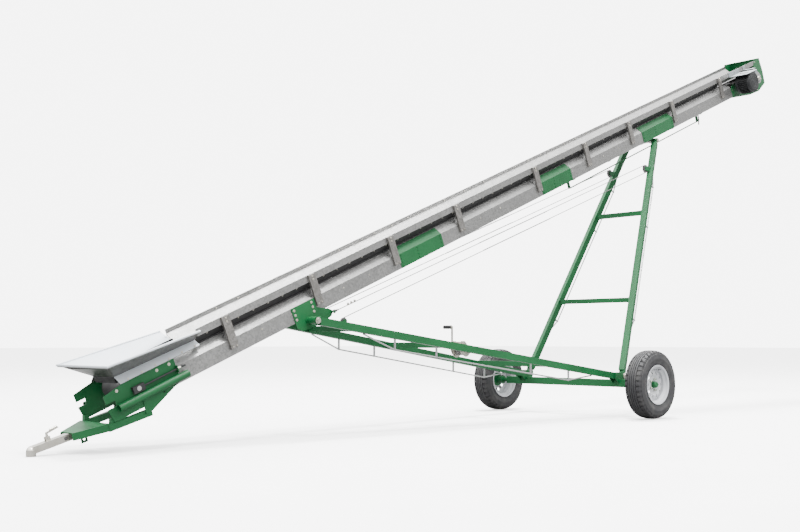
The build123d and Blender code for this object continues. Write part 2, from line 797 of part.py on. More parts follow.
# ---------------------------------------------------------------- lift tracks and pivot plates
leg_top = boom_point(leg_top_s, leg_top_h)
for name, side in SIDES:
    with BuildPart() as lift_track:
        ring_top = -track_bar
        middle = ((track_start + track_end) / 2, (ring_top + track_bottom - track_bar) / 2)
        with BuildSketch(beside_boom(side * (track_y - track_roller_width / 2))):
            with Locations(middle):
                height = ring_top - track_bottom + track_bar
                Rectangle(track_end - track_start, height)
                Rectangle(track_end - track_start - 4 * track_bar, height - 2 * track_bar, mode=Mode.SUBTRACT)
        extrude(amount=-side * track_roller_width)
        with BuildSketch(beside_boom(side * (track_y - track_roller_width / 2))):
            tie_spots = [(track_start + 20 + (track_end - track_start - 40) * i / 4, -track_bar / 2) for i in range(5)]
            with Locations(*tie_spots):
                Rectangle(40, track_bar)
        extrude(amount=-side * (boom_half_width - track_y + track_roller_width / 2))
    keep(lift_track, f"lift_track_{name}")

pivot = ground_point(-arm_pivot_reach, arm_pivot_height)
pivot_s = (pivot - boom_point(0, 0)).dot(boom_dir)
pivot_h = (pivot - boom_point(0, 0)).dot(Vector(-sin_boom, 0, cos_boom))
pivot_outline = (
    (-4281, 124),
    (-4024, 124),
    (-4024, 44),
    (-3900, -20),
    (-3868, -50),
    (-3900, -82),
    (-4005, -105),
    (-4235, -85),
    (-4275, -45),
)
with BuildPart() as pivot_plates:
    for name, side in SIDES:
        with BuildSketch(beside_boom(side * boom_half_width)):
            Polygon(*pivot_outline, align=None)
        extrude(amount=-side * ear_plate)
        with BuildSketch(beside_boom(side * boom_half_width)):
            with Locations((pivot_s, pivot_h)):
                Circle(pin_radius)
        extrude(amount=-side * (arm_pivot_half + frame_tube / 2 + 12 - boom_half_width))
        with BuildSketch(beside_boom(side * (boom_half_width + ear_plate))):
            with Locations((pivot_s, pivot_h)):
                Circle(pin_radius * 1.9)
        extrude(amount=-side * (arm_pivot_half - frame_tube / 2 - side_gap - boom_half_width - ear_plate))
        with BuildSketch(beside_boom(side * (boom_half_width + ear_plate))):
            with Locations((cable_anchor_s, cable_anchor_h)):
                Circle(9)
        extrude(amount=-side * (cable_low_half - cable_radius - boom_half_width - ear_plate + 8))
keep(pivot_plates, "pivot_plates")

# ---------------------------------------------------------------- lower frame: arms and axle
axle_centre = ground_point(0, wheel_radius)
arm_end_z = wheel_radius + axle_beam_size / 2 + frame_tube / 2
arms = {}
arm_envelopes = []
for name, side in SIDES:
    arm_start = ground_point(-arm_pivot_reach, arm_pivot_height, side * arm_pivot_half)
    arm_end = ground_point(0, arm_end_z, side * foot_half)
    arm_dir = (arm_end - arm_start).normalized()
    arms[name] = (arm_start, arm_end)
    arm_envelopes.append(square_bar(arm_start, arm_end, frame_tube))
    tube = square_tube(arm_start + arm_dir * 40, arm_end, frame_tube)
    lug = between(arm_start, arm_end, arm_sheave_share)
    with BuildPart() as arm:
        add(tube)
        # lug with two cheeks and a pin for the cable sheave
        lug_inner = cable_low_half - sheave_width / 2 - ear_plate
        with BuildSketch(Plane.XZ.offset(-side * lug_inner)):
            with Locations((lug.X, lug.Z + 2)):
                Rectangle(60, 16)
        extrude(amount=-side * (abs(lug.Y) - frame_tube / 2 + 2 - lug_inner))
        for cheek in (lug_inner, cable_low_half + sheave_width / 2):
            with BuildSketch(Plane.XZ.offset(-side * cheek)):
                with Locations((lug.X, lug.Z + arm_sheave_rise / 2 + 4)):
                    Rectangle(34, arm_sheave_rise + 24)
            extrude(amount=-side * (ear_plate - 1))
        with BuildSketch(Plane.XZ.offset(-side * lug_inner)):
            with Locations((lug.X, lug.Z + arm_sheave_rise)):
                Circle(sheave_pin)
        extrude(amount=-side * (sheave_width + 2 * ear_plate - 1))
        with BuildSketch(turning(arm_start - sideways * side * frame_tube / 2)):
            Circle(pin_radius * 2)
        extrude(amount=-side * frame_tube)
        with BuildSketch(turning(arm_start - sideways * side * frame_tube / 2)):
            with Locations((25, 0)):
                Rectangle(50, 2 * pin_radius)
        extrude(amount=-side * frame_tube)
        with BuildSketch(turning(arm_start - sideways * side * frame_tube)):
            Circle(pin_radius + pin_gap)
        extrude(amount=-side * frame_tube * 2, mode=Mode.SUBTRACT)
    keep(arm, f"arm_{name}")

with BuildPart() as axle_beam:
    with BuildSketch(Plane.XZ.offset(-axle_beam_half)):
        with Locations((axle_x, wheel_radius)):
            Rectangle(axle_beam_size, axle_beam_size)
            Rectangle(axle_beam_size - 12, axle_beam_size - 12, mode=Mode.SUBTRACT)
    extrude(amount=2 * axle_beam_half)
    for name, side in SIDES:
        with BuildSketch(Plane.XZ.offset(-side * (axle_beam_half - 30))):
            with Locations((axle_x, wheel_radius)):
                Rectangle(axle_beam_size - 6, axle_beam_size - 6)
        extrude(amount=-side * 30)
        with BuildSketch(Plane.XZ.offset(-side * (axle_beam_half - 5))):
            with Locations((axle_x, wheel_radius)):
                Circle(spindle_radius)
        extrude(amount=-side * (half_track + disc_offset - 20 - axle_beam_half))
        # ear plates that carry the foot of each leg
        for face in (-1, 1):
            ear_y = side * foot_half + face * (frame_tube / 2 + ear_plate / 2)
            beam_top = wheel_radius + axle_beam_size / 2
            with BuildSketch(Plane.XZ.offset(-ear_y + ear_plate / 2)):
                Polygon(
                    (axle_x - 95, beam_top + 8),
                    (axle_x - 38, beam_top - 40),
                    (axle_x + 38, beam_top - 40),
                    (axle_x + leg_pivot_behind + 30, leg_pivot_height - 26),
                    (axle_x + leg_pivot_behind + 30, leg_pivot_height + 26),
                    (axle_x + leg_pivot_behind - 20, leg_pivot_height + 34),
                    (axle_x - 95, leg_pivot_height + 30),
                    align=None,
                )
            extrude(amount=-ear_plate)
        with BuildSketch(Plane.XZ.offset(-side * foot_half + frame_tube / 2 + ear_plate)):
            with Locations((axle_x + leg_pivot_behind, leg_pivot_height)):
                Circle(pin_radius)
        extrude(amount=-frame_tube - 2 * ear_plate)
    add(arm_envelopes, mode=Mode.SUBTRACT)
keep(axle_beam, "axle_beam")

half_tube = frame_tube / 2
crossbar_tubes = []
for share in cross_shares:
    left = between(*arms["left"], share)
    right = between(*arms["right"], share)
    inset = sideways * (half_tube - 5)
    crossbar_tubes.append(square_tube(right + inset, left - inset, cross_tube))
with BuildPart() as arm_crossbars:
    add(crossbar_tubes)
    add(arm_envelopes, mode=Mode.SUBTRACT)
keep(arm_crossbars, "arm_crossbars")

truss_rods = []
for name, side in SIDES:
    start, end = arms[name]
    drop = Vector(0, 0, -1)
    first, *mids, last = [between(start, end, share) for share in arm_rod_shares]
    line = [first + drop * (half_tube + truss_rod_radius)]
    line += [point + drop * (half_tube + truss_standoff) for point in mids]
    line += [last + drop * (half_tube + truss_rod_radius)]
    truss_rods += [round_bar(a, b, truss_rod_radius) for a, b in zip(line, line[1:])]
    for point in mids:
        foot = point + drop * (half_tube + truss_standoff + truss_rod_radius)
        truss_rods.append(round_bar(point + drop * half_tube, foot, truss_rod_radius + 3))
with BuildPart() as arm_truss_rods:
    add(truss_rods)
    add(arm_envelopes, mode=Mode.SUBTRACT)
keep(arm_truss_rods, "arm_truss_rods")

# ---------------------------------------------------------------- A-frame
legs = {}
leg_envelopes = []
for name, side in SIDES:
    foot = ground_point(leg_pivot_behind, leg_pivot_height, side * foot_half)
    head = leg_top + sideways * side * leg_top_half
    legs[name] = (foot, head)
    leg_dir = (head - foot).normalized()
    eye = frame_tube - 2 * side_gap
    leg_envelopes.append(square_bar(foot, head, eye))
    tube = square_tube(foot + leg_dir * 54, head - leg_dir * 34, eye)
    lug = between(foot, head, leg_sheave_share)
    with BuildPart() as leg:
        add(tube)
        # two cheeks and a pin for the cable sheave
        for cheek in (cable_half - sheave_width / 2 - ear_plate, cable_half + sheave_width / 2 + 1):
            with BuildSketch(Plane.XZ.offset(-side * cheek)):
                with Locations((lug.X - leg_sheave_ahead / 2 - 14, lug.Z)):
                    Rectangle(leg_sheave_ahead + 8, 44)
            extrude(amount=-side * (ear_plate - 1))
        with BuildSketch(Plane.XZ.offset(-side * (cable_half - sheave_width / 2 - ear_plate))):
            with Locations((lug.X - leg_sheave_ahead, lug.Z)):
                Circle(sheave_pin)
        extrude(amount=-side * (sheave_width + 2 * ear_plate))
        for centre, outward, length in ((foot, leg_dir, 60), (head, leg_dir * -1, 40)):
            with BuildSketch(Plane(origin=centre + sideways * eye / 2, x_dir=Vector(outward.X, 0, outward.Z).normalized(), z_dir=(0, -1, 0))):
                Circle(pin_radius * 1.8)
                with Locations((length / 2, 0)):
                    Rectangle(length, pin_radius * 2)
                Circle(pin_radius + pin_gap, mode=Mode.SUBTRACT)
            extrude(amount=eye)
    keep(leg, f"leg_{name}")

crossbar_tubes = []
for share in leg_bar_shares:
    left = between(*legs["left"], share)
    right = between(*legs["right"], share)
    inset = sideways * (half_tube - 5)
    crossbar_tubes.append(square_tube(right + inset, left - inset, cross_tube))
shaft_half = leg_top_half + half_tube + 10
roller_shaft = round_bar(leg_top - sideways * shaft_half, leg_top + sideways * shaft_half, pin_radius)
with BuildPart() as leg_crossbars:
    add(crossbar_tubes)
    add(leg_envelopes, mode=Mode.SUBTRACT)
keep(leg_crossbars, "leg_crossbars")
with BuildPart() as leg_top_shaft:
    add(roller_shaft)
keep(leg_top_shaft, "leg_top_shaft")

with BuildPart() as track_rollers:
    for name, side in SIDES:
        with BuildSketch(turning(leg_top + sideways * side * (track_y - track_roller_width / 2))):
            Circle(track_roller_radius)
            Circle(pin_radius + pin_gap, mode=Mode.SUBTRACT)
        extrude(amount=-side * track_roller_width)
keep(track_rollers, "track_rollers")

truss_rods = []
for name, side in SIDES:
    start, end = legs[name]
    leg_dir = (end - start).normalized()
    back = Vector(leg_dir.Z, 0, -leg_dir.X).normalized()
    first, *mids, last = [between(start, end, share) for share in leg_rod_shares]
    line = [first + back * (half_tube + truss_rod_radius)]
    line += [point + back * (half_tube + leg_standoff) for point in mids]
    line += [last + back * (half_tube + truss_rod_radius)]
    truss_rods += [round_bar(a, b, truss_rod_radius) for a, b in zip(line, line[1:])]
    for point in mids:
        tip = point + back * (half_tube + leg_standoff + truss_rod_radius)
        truss_rods.append(round_bar(point + back * half_tube, tip, truss_rod_radius + 3))
with BuildPart() as leg_truss_rods:
    add(truss_rods)
    add(leg_envelopes, mode=Mode.SUBTRACT)
keep(leg_truss_rods, "leg_truss_rods")

# ---------------------------------------------------------------- wheels
def wheel_plane(side):
    """Plane through the axle for turned profiles: local x is outboard, local y is the radius."""
    return Plane(
        origin=ground_point(0, wheel_radius, side * half_track), x_dir=(0, side, 0), z_dir=(side, 0, 0)
    )


half_tyre = tyre_width / 2
for name, side in SIDES:
    spin = Axis(ground_point(0, wheel_radius, 0), (0, 1, 0))
    with BuildPart() as tyre:
        with BuildSketch(wheel_plane(side)):
            with BuildLine():
                Spline(
                    (-rim_half_width + 13, rim_radius + side_gap),
                    (-half_tyre, 262),
                    (-half_tyre + 18, 328),
                )
                Spline((-half_tyre + 18, 328), (-62, 341), (-34, wheel_radius))
                Line((-34, wheel_radius), (34, wheel_radius))
                Spline((34, wheel_radius), (62, 341), (half_tyre - 18, 328))
                Spline(
                    (half_tyre - 18, 328),
                    (half_tyre, 262),
                    (rim_half_width - 13, rim_radius + side_gap),
                )
                Polyline(
                    (rim_half_width - 13, rim_radius + side_gap),
                    (rim_half_width - 26, rim_radius + side_gap),
                    (half_tyre - 16, 262),
                    (half_tyre - 32, 318),
                    (-half_tyre + 32, 318),
                    (-half_tyre + 16, 262),
                    (-rim_half_width + 26, rim_radius + side_gap),
                    (-rim_half_width + 13, rim_radius + side_gap),
                )
            make_face()
        revolve(axis=spin)
    keep(tyre, f"tyre_{name}")

    rim_path = (
        (-rim_half_width, rim_radius + 9),
        (-rim_half_width + 5, rim_radius - 4),
        (-rim_half_width + 24, rim_radius - 6),
        (-rim_half_width + 42, rim_radius - 24),
        (rim_half_width - 42, rim_radius - 24),
        (rim_half_width - 24, rim_radius - 6),
        (rim_half_width - 5, rim_radius - 4),
        (rim_half_width, rim_radius + 9),
    )
    with BuildPart() as rim:
        with BuildSketch(wheel_plane(side)):
            Polygon(*folded(rim_path, -4), align=None)
            with BuildLine():
                Polyline(
                    (disc_offset, hub_radius - 27),
                    (disc_offset, hub_radius + 20),
                    (disc_offset + 18, hub_radius + 48),
                    (disc_offset - 4, rim_radius - 27),
                    (disc_offset - 10, rim_radius - 27),
                    (disc_offset + 11, hub_radius + 46),
                    (disc_offset - 6, hub_radius + 24),
                    (disc_offset - 6, hub_radius - 27),
                    close=True,
                )
            make_face()
        revolve(axis=spin)
        face_plane = Plane(
            origin=ground_point(0, wheel_radius, side * (half_track + disc_offset)),
            x_dir=(1, 0, 0),
            z_dir=(0, side, 0),
        )
        with BuildSketch(face_plane):
            with PolarLocations(stud_circle_radius, stud_count):
                Circle(stud_radius + 1.2)
            with PolarLocations(hub_radius + 58, 10):
                Circle(16)
        extrude(amount=40, both=True, mode=Mode.SUBTRACT)
    keep(rim, f"rim_{name}")

    with BuildPart() as hub:
        with BuildSketch(face_plane.offset(-6)):
            Circle(hub_radius + 12)
        extrude(amount=-10)
        with BuildSketch(face_plane.offset(-16)):
            Circle(hub_radius - 20)
        extrude(amount=-90)
        with BuildSketch(face_plane.offset(-7)):
            Circle(hub_radius - 30)
        extrude(amount=52)
        fillet(hub.faces().sort_by(Axis.Y)[-1 if side > 0 else 0].edges(), 12)
        with BuildSketch(face_plane.offset(-7)):
            with PolarLocations(stud_circle_radius, stud_count):
                Circle(stud_radius)
        extrude(amount=32)
        with BuildSketch(face_plane.offset(-110)):
            Circle(spindle_radius + bearing_gap)
        extrude(amount=110 - 15, mode=Mode.SUBTRACT)
        with BuildSketch(face_plane):
            with PolarLocations(stud_circle_radius, stud_count):
                RegularPolygon(11, 6)
                Circle(stud_radius + 0.1, mode=Mode.SUBTRACT)
        extrude(amount=16)
    keep(hub, f"hub_{name}")

# ---------------------------------------------------------------- winch on the lower frame
bar_left = between(*arms["left"], cross_shares[1])
winch_x = bar_left.X + cross_tube / 2 + winch_setback - cross_tube / 2
crank_centre = (winch_x, bar_left.Z + 12)
drum_centre = (winch_x + drum_back, crank_centre[1] - drum_drop)
plate_outline = (
    (winch_x - 40, crank_centre[1] - 60),
    (winch_x - 26, crank_centre[1] + 26),
    (winch_x + 26, crank_centre[1] + 26),
    (drum_centre[0] + 48, drum_centre[1] + 20),
    (drum_centre[0] + 48, drum_centre[1] - 26),
    (winch_x - 20, drum_centre[1] - 30),
)
with BuildPart() as winch_frame:
    for y in (winch_outer_y, winch_inner_y):
        with BuildSketch(Plane.XZ.offset(-y)):
            Polygon(*plate_outline, align=None)
            with Locations(crank_centre):
                Circle(crank_shaft_radius + bearing_gap, mode=Mode.SUBTRACT)
            with Locations(drum_centre):
                Circle(12 + bearing_gap, mode=Mode.SUBTRACT)
        extrude(amount=-winch_plate)
    with BuildSketch(Plane.XZ.offset(-winch_outer_y)):
        with Locations((winch_x - 28, crank_centre[1] - 52), (winch_x + 20, crank_centre[1] + 14)):
            Circle(7)
    extrude(amount=winch_outer_y - winch_inner_y)
    with BuildSketch(Plane.XZ.offset(-winch_outer_y)):
        with Locations((winch_x - 4, crank_centre[1] - 62)):
            Rectangle(50, 40)
    extrude(amount=30)
    add(arm_envelopes, mode=Mode.SUBTRACT)
keep(winch_frame, "winch_frame")

drum_outer = winch_outer_y + winch_plate + side_gap * 3
drum_inner = winch_inner_y - side_gap * 3
gear_start = winch_inner_y + winch_plate + 1
with BuildPart() as winch_drum:
    with BuildSketch(Plane.XZ.offset(-drum_outer)):
        with Locations(drum_centre):
            Circle(drum_radius)
    extrude(amount=drum_outer - drum_inner)
    for y in (drum_outer, drum_inner - 4):
        with BuildSketch(Plane.XZ.offset(-y)):
            with Locations(drum_centre):
                Circle(drum_flange_radius)
        extrude(amount=-4)
    with BuildSketch(Plane.XZ.offset(-winch_outer_y + 3)):
        with Locations(drum_centre):
            Circle(12)
    extrude(amount=winch_outer_y - 3 - gear_start - gear_width)
    with BuildSketch(Plane.XZ.offset(-gear_start)):
        with Locations(drum_centre):
            Circle(drum_gear_radius)
    extrude(amount=-gear_width)
keep(winch_drum, "winch_drum")

arm_start_y = gear_start + gear_width + 6
with BuildPart() as winch_crank:
    with BuildSketch(Plane.XZ.offset(-winch_outer_y + 4)):
        with Locations(crank_centre):
            Circle(crank_shaft_radius)
    extrude(amount=winch_outer_y - 4 - arm_start_y - 7)
    with BuildSketch(Plane.XZ.offset(-gear_start)):
        with Locations(crank_centre):
            Circle(pinion_radius - 1)
    extrude(amount=-gear_width)
    with BuildSketch(Plane.XZ.offset(-arm_start_y)):
        with Locations((crank_centre[0], crank_centre[1] + crank_radius / 2)):
            SlotCenterToCenter(crank_radius, 20, rotation=90)
    extrude(amount=-7)
    with BuildSketch(Plane.XZ.offset(-arm_start_y - 7)):
        with Locations((crank_centre[0], crank_centre[1] + crank_radius)):
            Circle(11)
    extrude(amount=-crank_grip)
keep(winch_crank, "winch_crank")

# ---------------------------------------------------------------- lift cables and their sheaves
def grooved(centre, radius):
    """A cable sheave with its groove at the given radius, turning on its pin."""
    with BuildPart(turning(centre)) as wheel:
        Cylinder(radius + 6, sheave_width - 2)
        with Locations((0, 0, 0)):
            Torus(radius + cable_radius, cable_radius + 0.6, mode=Mode.SUBTRACT)
        Cylinder(sheave_pin + bearing_gap, sheave_width, mode=Mode.SUBTRACT)
    return wheel.part


def tangent(start, start_offset, end, end_offset):
    """Start and end of the line that clears two points by the given offsets to its left."""
    reach = Vector(end.X - start.X, end.Z - start.Z)
    turn = asin((start_offset - end_offset) / reach.length)
    angle = atan2(reach.Y, reach.X) - turn
    left = Vector(-sin(angle), 0, cos(angle))
    return start + left * start_offset, end + left * end_offset


leg_sheaves_at = {name: between(*legs[name], leg_sheave_share) for name, side in SIDES}
arm_sheaves_at = {name: between(*arms[name], arm_sheave_share) for name, side in SIDES}
leg_wheels, arm_wheels = [], []
strands = {"anchor_cable_low": [], "anchor_cable_high": [], "winch_cable_low": [], "winch_cable_high": []}
for name, side in SIDES:
    leg_wheel = leg_sheaves_at[name]
    leg_wheel = Vector(leg_wheel.X - leg_sheave_ahead, side * cable_half, leg_wheel.Z)
    arm_wheel = arm_sheaves_at[name]
    arm_wheel = Vector(arm_wheel.X, side * cable_low_half, arm_wheel.Z + arm_sheave_rise)
    leg_wheels.append(grooved(leg_wheel, sheave_radius - 6))
    arm_wheels.append(grooved(arm_wheel, arm_sheave_radius - 6))
    anchor = boom_point(cable_anchor_s, cable_anchor_h, side * cable_low_half)
    wrap = sheave_radius - 6 + cable_radius
    low_wrap = arm_sheave_radius - 6 + cable_radius
    for kind, start, start_offset, end_offset in (
        ("anchor", anchor, 0, wrap),
        ("winch", arm_wheel, low_wrap, -wrap),
    ):
        low_end, high_end = tangent(start, start_offset, leg_wheel, end_offset)
        run = Vector(high_end.X - low_end.X, 0, high_end.Z - low_end.Z)
        half_run = run.normalized() * (run.length + cable_overlap) / 2
        first = run.normalized() * (9.8 if kind == "anchor" else 0)
        strands[f"{kind}_cable_low"].append(round_bar(low_end + first, low_end + half_run, cable_radius))
        strands[f"{kind}_cable_high"].append(round_bar(high_end, high_end - half_run, cable_radius))
for name, pieces in (("leg_sheaves", leg_wheels), ("arm_sheaves", arm_wheels), *strands.items()):
    with BuildPart() as group:
        add(pieces)
    keep(group, name)

# ---------------------------------------------------------------- small fittings
with BuildPart() as rail_bolts:
    for name, side in SIDES:
        with BuildSketch(beside_boom(side * (boom_half_width + post_depth))):
            for s in post_stations:
                with Locations((s - 18, post_bottom + 16), (s + 18, post_bottom + 16)):
                    RegularPolygon(bolt_head, 6)
        extrude(amount=-side * bolt_rise)
        with BuildSketch(beside_boom(side * (boom_half_width - sheet))):
            for before, after in zip(post_stations, post_stations[1:]):
                for share in (0.25, 0.5, 0.75):
                    with Locations((before + (after - before) * share, (rail_top + rail_slope_top) / 2)):
                        RegularPolygon(bolt_head, 6)
        extrude(amount=side * bolt_rise)
keep(rail_bolts, "rail_bolts")

with BuildPart() as parking_hook:
    with BuildSketch(beside_boom(-boom_half_width + 12)):
        with BuildLine():
            Polyline((2590, 0), (2610, 0), (2600, -60), (2572, -118), (2556, -112), (2584, -58), close=True)
        make_face()
    extrude(amount=8)
keep(parking_hook, "parking_hook")
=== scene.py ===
"""Portable belt conveyor: finishes, small parts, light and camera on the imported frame. Metres."""

import json
from math import atan2, cos, pi, radians, sin, tau

import bmesh
import bpy
from mathutils import Matrix, Vector


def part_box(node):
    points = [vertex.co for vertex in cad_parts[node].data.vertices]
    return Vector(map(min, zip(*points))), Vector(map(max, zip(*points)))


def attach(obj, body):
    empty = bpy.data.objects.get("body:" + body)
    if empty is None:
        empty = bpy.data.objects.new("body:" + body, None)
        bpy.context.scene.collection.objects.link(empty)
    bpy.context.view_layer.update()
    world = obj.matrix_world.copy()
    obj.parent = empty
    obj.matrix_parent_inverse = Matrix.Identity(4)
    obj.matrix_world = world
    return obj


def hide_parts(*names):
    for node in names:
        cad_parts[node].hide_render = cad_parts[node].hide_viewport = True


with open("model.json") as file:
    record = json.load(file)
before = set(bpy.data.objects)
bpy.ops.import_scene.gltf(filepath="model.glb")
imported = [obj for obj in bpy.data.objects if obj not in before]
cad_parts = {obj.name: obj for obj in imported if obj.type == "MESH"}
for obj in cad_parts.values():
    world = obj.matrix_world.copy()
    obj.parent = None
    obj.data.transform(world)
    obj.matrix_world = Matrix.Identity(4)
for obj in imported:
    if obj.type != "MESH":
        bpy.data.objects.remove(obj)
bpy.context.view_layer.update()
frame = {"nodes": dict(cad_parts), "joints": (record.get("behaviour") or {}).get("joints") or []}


# ---------------------------------------------------------------- finishes
class Finish:
    """A material under construction, with its Object coordinates ready for patterns."""

    def __init__(self, name, roughness=0.5, metallic=0.0):
        self.material = bpy.data.materials.new(name)
        self.material.use_nodes = True
        self.tree = self.material.node_tree
        self.shader = self.tree.nodes["Principled BSDF"]
        self.shader.inputs["Roughness"].default_value = roughness
        self.shader.inputs["Metallic"].default_value = metallic
        self.place = self.tree.nodes.new("ShaderNodeTexCoord").outputs["Object"]

    def node(self, kind, links=(), **values):
        """A node with its sockets set by name from values and linked by name from links."""
        made = self.tree.nodes.new(kind)
        for key, value in values.items():
            if hasattr(made, key):
                setattr(made, key, value)
            else:
                made.inputs[key].default_value = value
        for key, source in links:
            self.tree.links.new(source, made.inputs[key])
        return made

    def stretched(self, x, y, z):
        """Object coordinates scaled by x, y and z."""
        return self.node("ShaderNodeMapping", [("Vector", self.place)], Scale=(x, y, z)).outputs["Vector"]

    def noise(self, scale, detail=4.0, place=None):
        """Cloudy values from 0 to 1."""
        made = self.node("ShaderNodeTexNoise", [("Vector", place or self.place)], Scale=scale, Detail=detail)
        return made.outputs["Fac"]

    def ramp(self, value, *stops):
        """Colours or greys along a value; each stop is (position, colour)."""
        made = self.node("ShaderNodeValToRGB", [("Fac", value)])
        while len(made.color_ramp.elements) < len(stops):
            made.color_ramp.elements.new(0.5)
        for element, (position, colour) in zip(made.color_ramp.elements, stops):
            element.position = position
            element.color = (*colour, 1.0) if isinstance(colour, tuple) else (colour, colour, colour, 1.0)
        return made.outputs["Color"]

    def colour(self, source):
        self.tree.links.new(source, self.shader.inputs["Base Color"])

    def rough(self, value, low, high):
        """Roughness that wanders between low and high."""
        spread = self.node("ShaderNodeMapRange", [("Value", value)])
        spread.inputs["To Min"].default_value = low
        spread.inputs["To Max"].default_value = high
        self.tree.links.new(spread.outputs["Result"], self.shader.inputs["Roughness"])

    def bump(self, height, strength=0.2, distance=0.001):
        made = self.node("ShaderNodeBump", [("Height", height)], Strength=strength, Distance=distance)
        self.tree.links.new(made.outputs["Normal"], self.shader.inputs["Normal"])

    def mix(self, factor, one, other):
        """one where factor is 0 and other where it is 1."""
        made = self.tree.nodes.new("ShaderNodeMix")
        made.data_type = "RGBA"
        self.tree.links.new(factor, made.inputs["Factor"])
        for socket, source in ((made.inputs[6], one), (made.inputs[7], other)):
            if isinstance(source, tuple):
                socket.default_value = (*source, 1.0)
            else:
                self.tree.links.new(source, socket)
        return made.outputs[2]


def galvanised(name, dark, light):
    """Hot-dip zinc: a spangle of crystals and a dull grey bloom."""
    finish = Finish(name, roughness=0.42, metallic=0.75)
    crystals = finish.node("ShaderNodeTexVoronoi", [("Vector", finish.place)], Scale=70.0)
    grain = finish.node("ShaderNodeSeparateColor", [("Color", crystals.outputs["Color"])]).outputs["Red"]
    spangle = finish.ramp(grain, (0.0, dark), (1.0, light))
    bloom = finish.ramp(finish.noise(2.2, 6.0), (0.40, 0.0), (0.72, 0.55))
    dull = tuple(0.5 * (d + l) * 0.86 for d, l in zip(dark, light))
    finish.colour(finish.mix(bloom, spangle, dull))
    finish.rough(finish.noise(9.0, 5.0), 0.30, 0.55)
    finish.bump(finish.noise(260.0, 3.0), 0.10, 0.0006)
    return finish.material


def enamel(name, base, shade, dust=(0.30, 0.30, 0.27), gloss=0.34, dust_most=0.22):
    """Sprayed paint: slightly uneven colour, orange peel and a little dust in patches."""
    finish = Finish(name, roughness=gloss)
    tone = finish.ramp(finish.noise(3.0, 5.0), (0.30, shade), (0.70, base))
    settled = finish.ramp(finish.noise(14.0, 8.0), (0.52, 0.0), (0.86, dust_most))
    finish.colour(finish.mix(settled, tone, dust))
    finish.rough(finish.noise(7.0, 5.0), gloss - 0.04, gloss + 0.14)
    finish.bump(finish.noise(260.0, 2.0), 0.05, 0.0004)
    finish.shader.inputs["Specular IOR Level"].default_value = 0.28
    finish.shader.inputs["Coat Weight"].default_value = 0.03
    finish.shader.inputs["Coat Roughness"].default_value = 0.30
    return finish.material


def moulded_rubber(name, base, worn, scuff=0.35, grain=320.0):
    """Rubber: near black with grey scuffs and a fine grain."""
    finish = Finish(name, roughness=0.72)
    scuffs = finish.ramp(finish.noise(11.0, 9.0), (0.45, 0.0), (0.80, scuff))
    finish.colour(finish.mix(scuffs, base, worn))
    finish.rough(finish.noise(25.0, 5.0), 0.60, 0.88)
    finish.bump(finish.noise(grain, 4.0), 0.25, 0.0008)
    return finish.material


def bare_metal(name, base, stain, gloss=0.30, metallic=0.95, brushed=(1.0, 60.0, 1.0)):
    """Turned or plated metal: fine tool lines and a few stains."""
    finish = Finish(name, roughness=gloss, metallic=metallic)
    lines = finish.noise(6.0, 3.0, finish.stretched(*brushed))
    blots = finish.ramp(finish.noise(18.0, 7.0), (0.50, 0.0), (0.80, 0.6))
    finish.colour(finish.mix(blots, base, stain))
    finish.rough(lines, gloss - 0.08, gloss + 0.18)
    finish.bump(lines, 0.10, 0.0004)
    return finish.material


def wire_rope(name):
    """Laid strands: a wave that runs slantwise round the rope."""
    finish = Finish(name, roughness=0.45, metallic=0.8)
    lay = finish.node(
        "ShaderNodeTexWave",
        [("Vector", finish.stretched(1.0, 0.6, 0.6))],
        Scale=55.0,
        Distortion=0.0,
        wave_type="BANDS",
        bands_direction="DIAGONAL",
    ).outputs["Fac"]
    # The colour follows the lay wave, dark in the grooves between the strands as painted shade and lighter on
    # their crowns.
    finish.colour(finish.ramp(lay, (0.15, (0.05, 0.05, 0.05)), (0.75, (0.30, 0.30, 0.29))))
    finish.bump(lay, 0.8, 0.0015)
    return finish.material


def pale_floor(name):
    """A floor that looks nearly white to the lens but throws little light back up."""
    finish = Finish(name, roughness=0.95)
    finish.colour(finish.ramp(finish.noise(1.5, 6.0), (0.3, (0.84, 0.84, 0.84)), (0.7, (0.88, 0.88, 0.88))))
    finish.shader.inputs["Emission Color"].default_value = (1.0, 1.0, 1.0, 1.0)
    finish.shader.inputs["Emission Strength"].default_value = 1.2
    matt = finish.node("ShaderNodeBsdfDiffuse", Color=(0.22, 0.22, 0.22, 1.0))
    seen = finish.tree.nodes.new("ShaderNodeLightPath")
    chooser = finish.tree.nodes.new("ShaderNodeMixShader")
    finish.tree.links.new(seen.outputs["Is Camera Ray"], chooser.inputs["Fac"])
    finish.tree.links.new(matt.outputs["BSDF"], chooser.inputs[1])
    finish.tree.links.new(finish.shader.outputs["BSDF"], chooser.inputs[2])
    finish.tree.links.new(chooser.outputs["Shader"], finish.tree.nodes["Material Output"].inputs["Surface"])
    return finish.material


zinc_sheet = galvanised("galvanised sheet", (0.20, 0.20, 0.196), (0.30, 0.30, 0.295))
green = enamel(
    "green paint",
    (0.004, 0.098, 0.027),
    (0.003, 0.070, 0.019),
    dust=(0.06, 0.12, 0.07),
    gloss=0.42,
    dust_most=0.06,
)
hopper_paint = enamel("hopper paint", (0.62, 0.66, 0.70), (0.54, 0.58, 0.62), dust=(0.45, 0.44, 0.42))
# A darker galvanised finish for the hopper faces that do not turn up the boom: painted shade.
hopper_painted_shade = galvanised("hopper painted shade", (0.11, 0.11, 0.105), (0.19, 0.19, 0.185))
post_zinc = galvanised("post zinc", (0.16, 0.155, 0.145), (0.26, 0.25, 0.24))
machine_grey = enamel("machine grey paint", (0.26, 0.28, 0.29), (0.20, 0.22, 0.23))
motor_black = enamel("motor paint", (0.016, 0.017, 0.019), (0.010, 0.011, 0.012), gloss=0.46, dust_most=0.05)
casting = enamel("painted casting", (0.030, 0.031, 0.032), (0.018, 0.019, 0.020), gloss=0.55, dust_most=0.08)
silver = enamel("wheel paint", (0.50, 0.51, 0.53), (0.42, 0.43, 0.45), dust=(0.25, 0.23, 0.20), gloss=0.30)
